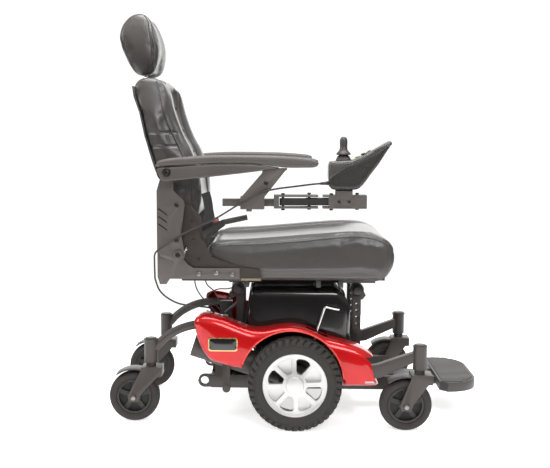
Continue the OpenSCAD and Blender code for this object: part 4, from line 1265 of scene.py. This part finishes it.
def pod():
    """A wedge-shaped pod: a dark lower shell, a lighter upper shell that comes down its sides, and its controls."""
    whole = [(93, 716), (96, 711), (103, 705), (120, 703.6), (164, 704), (178, 709), (190, 720), (210, 748), (231, 776),
             (250, 806), (264, 828), (265.5, 836), (260, 838), (246, 831), (230, 822), (195, 803.5), (161, 787.5),
             (150, 785), (100, 782), (95, 778), (93, 770), (92, 740)]
    lower = slab("pod_lower", flowing(whole, 5), STICK_Y - 35.5, STICK_Y + 35.5, rounding(13), rounding(13), 7,
                 (1, 3, 6, 9, 13))
    top = [(91.5, 733), (100, 735), (118, 746), (142, 762), (170, 778), (205, 797), (240, 817), (264, 827.5),
           (267, 836), (261, 840.5), (246, 833), (230, 824), (195, 805.5), (161, 789.5), (150, 787), (100, 784),
           (94, 780), (91, 770)]
    upper = slab("pod_upper", flowing(top, 5), STICK_Y - 36.5, STICK_Y + 36.5, rounding(9), rounding(9), 7,
                 (1, 3, 6, 9))
    for shell, room in (
            (upper, [(0, -25), (13, -22), (22, -13), (25.4, 0), (24.6, 7), (23.2, 12), (0, 12)]),
            (lower, [(0, -26), (13.5, -23), (22.5, -14), (26, 0), (24.6, 8), (0, 8)])):
        cut(shell, lathe("ball_hole", room, BALL, "Z", 48))
    # Painted shade: the lower shell is coloured darker than the upper, standing in for the shaded scoop of the pod's
    # underside.
    dress(smooth_shade(lower, 45), "shell", "joystick_pod", "grey_plastic", "joystick_housing")
    dress(smooth_shade(upper, 45), "panel", "joystick_pod", "grey_plastic", "joystick_housing")
    slope = math.atan2(824 - 789.5, 230 - 161)
    ahead = Vector((math.cos(slope), 0, math.sin(slope)))
    up = Vector((-math.sin(slope), 0, math.cos(slope)))
    spot = Vector((161, STICK_Y, 789.5))
    for name, along, across, radius, material in (
            ("power_button", 14, -18, 6.5, "green"), ("horn_button", 14, 18, 6.5, "yellow"),
            ("speed_down_button", 32, -18, 6.0, "black"), ("speed_up_button", 32, 18, 6.0, "black"),
            ("lamp_button", 50, 0, 5.0, "black")):
        key = lathe(name, [(0, 1.8), (radius * 0.8, 1.7), (radius, 0.9), (radius, -2), (0, -2)], (0, 0, 0), "Z", 24)
        place = (spot + ahead * along + Vector((0, across, 0)) + up * 0.4) * MM
        key.data.transform(Matrix.Translation(place) @ up.to_track_quat("Z", "X").to_matrix().to_4x4())
        dress(recalculated(key), material, "joystick_pod", "grey_plastic")
    lamps = block("charge_lights", (-0.004, -0.014, 0), (0.004, 0.014, 0.0012))
    place = (spot + ahead * 42 + up * 0.2) * MM
    lamps.data.transform(Matrix.Translation(place) @ Matrix.Rotation(-slope, 4, "Y"))
    dress(rounded_edges(lamps, 0.4 * MM, 2), "green", "joystick_pod", "grey_plastic")


def stick():
    """A bell-shaped knob on a ringed boot, about the ball's centre."""
    profile = [(0, 67), (5, 66.3), (8.6, 63.5), (10.6, 58.5), (11, 52), (10.6, 42), (10.8, 34), (12.5, 29), (16, 24.5),
               (19.8, 20.5), (20.6, 17.8), (19.5, 16), (14, 15), (13, 13.5), (17.5, 12.4), (18.4, 11.4),
               (17.2, 10.2), (16.6, 9.6), (19.2, 8.6), (20, 7.4), (19.4, 6.2), (20.6, 5), (21.6, 3), (21.8, 0),
               (20.5, -8), (14, -16.5), (8, -14), (0, -13)]
    piece = lathe("joystick_knob", profile, BALL, "Z", 48)
    dress(piece, "grey", "stick", "black_plastic", "joystick_stick")
    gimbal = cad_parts["joystick_gimbal"]
    gimbal.data.materials.clear()
    gimbal.data.materials.append(MATERIALS["chrome"])


# ---- Lead and wires ----

LEAD = 2.6
WIRE = 1.8
LINK_LEAD = [(90, -276, 722), (60, -276, 720), (10, -276, 714), (-22, -276.5, 710), (-40, -280, 708)]
ARM_LEAD = [(-40, -280, 708), (-56, -288.5, 706), (-73, -297.3, 703), (-96, -297.3, 697), (-120, -297.3, 686),
            (-158, -297.3, 665), (-232, -280, 619), (-300, -268, 587)]
BACK_LEAD = [(-300, -268, 587), (-334, -262, 569), (-370, -260, 545), (-397, -258, 527), (-409, -250, 512),
             (-411, -242, 490)]
BASE_LEAD = [(-411, -242, 490), (-411, -236, 440), (-400, -228, 405), (-377, -222, 380), (-339, -214, 360),
             (-285, -200, 351), (-250, -180, 341), (-228, -160, 318)]
SEAT_WIRES = [
    [(-300, -190, 436), (-292, -188, 400), (-268, -182, 366), (-235, -170, 348), (-215, -150, 318)],
    [(-270, -180, 436), (-262, -176, 412), (-240, -170, 390), (-228, -160, 362), (-212, -140, 316)],
    [(-168, -170, 430), (-178, -166, 408), (-200, -160, 398), (-235, -152, 394), (-262, -148, 372), (-246, -140, 330),
     (-222, -132, 314)]]


def lead_piece(name, points, between, start, end, *nodes):
    """A stretch of the lead past the joint between two bodies, fixed in the world and carried by neither."""
    piece = swept(name, [Vector(p) * MM for p in points], LEAD * MM, 12, 8)
    piece.data.materials.append(MATERIALS["cord"])
    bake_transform(piece)
    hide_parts(*nodes)


def leads():
    base = swept("lead_to_base", [Vector(p) * MM for p in BASE_LEAD[1:]], LEAD * MM, 12, 8)
    dress(base, "cord", "base", "lead_rubber", "lead_base")
    lead_piece("lead_past_hinge", [BASE_LEAD[1]] + BACK_LEAD[:0:-1], ("base", "backrest"), BASE_LEAD[1], BACK_LEAD[3],
               "lead_back")
    lead_piece("lead_past_armrest_pivot", [BACK_LEAD[1]] + ARM_LEAD[:4:-1], ("backrest", "armrest_right"), BACK_LEAD[1],
               ARM_LEAD[5], "lead_back", "lead_arm")
    lead_piece("lead_past_slide", ARM_LEAD[5:0:-1], ("armrest_right", "joystick_slide"), ARM_LEAD[4], ARM_LEAD[1],
               "lead_arm")
    lead_piece("lead_past_swing", [ARM_LEAD[1], ARM_LEAD[0], LINK_LEAD[3], LINK_LEAD[2]],
               ("joystick_slide", "swing_outer"), ARM_LEAD[1], LINK_LEAD[2], "lead_arm", "lead_link")
    lead_piece("lead_past_pod", [LINK_LEAD[2], (36, -276, 717.4), LINK_LEAD[1], LINK_LEAD[0]],
               ("swing_outer", "joystick_pod"), (36, -276, 717), (84, -276, 721.5), "lead_link")
    for i, wire in enumerate(SEAT_WIRES):
        piece = swept("seat_wire_{}".format(i + 1), [Vector(p) * MM for p in wire], WIRE * MM, 10, 6)
        dress(piece, "cord", "base", "lead_rubber", "lead_base")
    profile = [(0, 6), (5.2, 6), (5.6, 3), (5.6, -3), (4.6, -4), (4.2, -14), (3.2, -22), (0, -22)]
    plug = lathe("lead_plug", profile, (0, 0, 0), "Z", 24)
    along = Vector((30, 0, 2)).to_track_quat("Z", "Y").to_matrix().to_4x4()
    plug.data.transform(Matrix.Translation(Vector((89, -276, 722)) * MM) @ along)
    dress(recalculated(plug), "black", "joystick_pod", "lead_rubber")


def floor():
    """A plain white sweep, bright enough to run into the backdrop."""
    plane = mesh_piece("floor", [(-1.6, -1.5, 0), (1.6, -1.5, 0), (1.6, 1.5, 0), (-1.6, 1.5, 0)], [(0, 1, 2, 3)])
    plane.data.materials.append(MATERIALS["floor"])


make_camera()
make_materials()
make_studio()
floor()
for drive_side in SIDES:
    drive_wheel(drive_side)
for caster_key in CASTERS:
    caster(caster_key)
base_and_arms()
battery_cover()
for shroud_side in SIDES:
    shroud(shroud_side)
freewheel_levers()
seat_cushion()
back_cushion()
headrest()
seat_hardware()
lap_belt()
armrests()
swing_away()
pod()
stick()
leads()
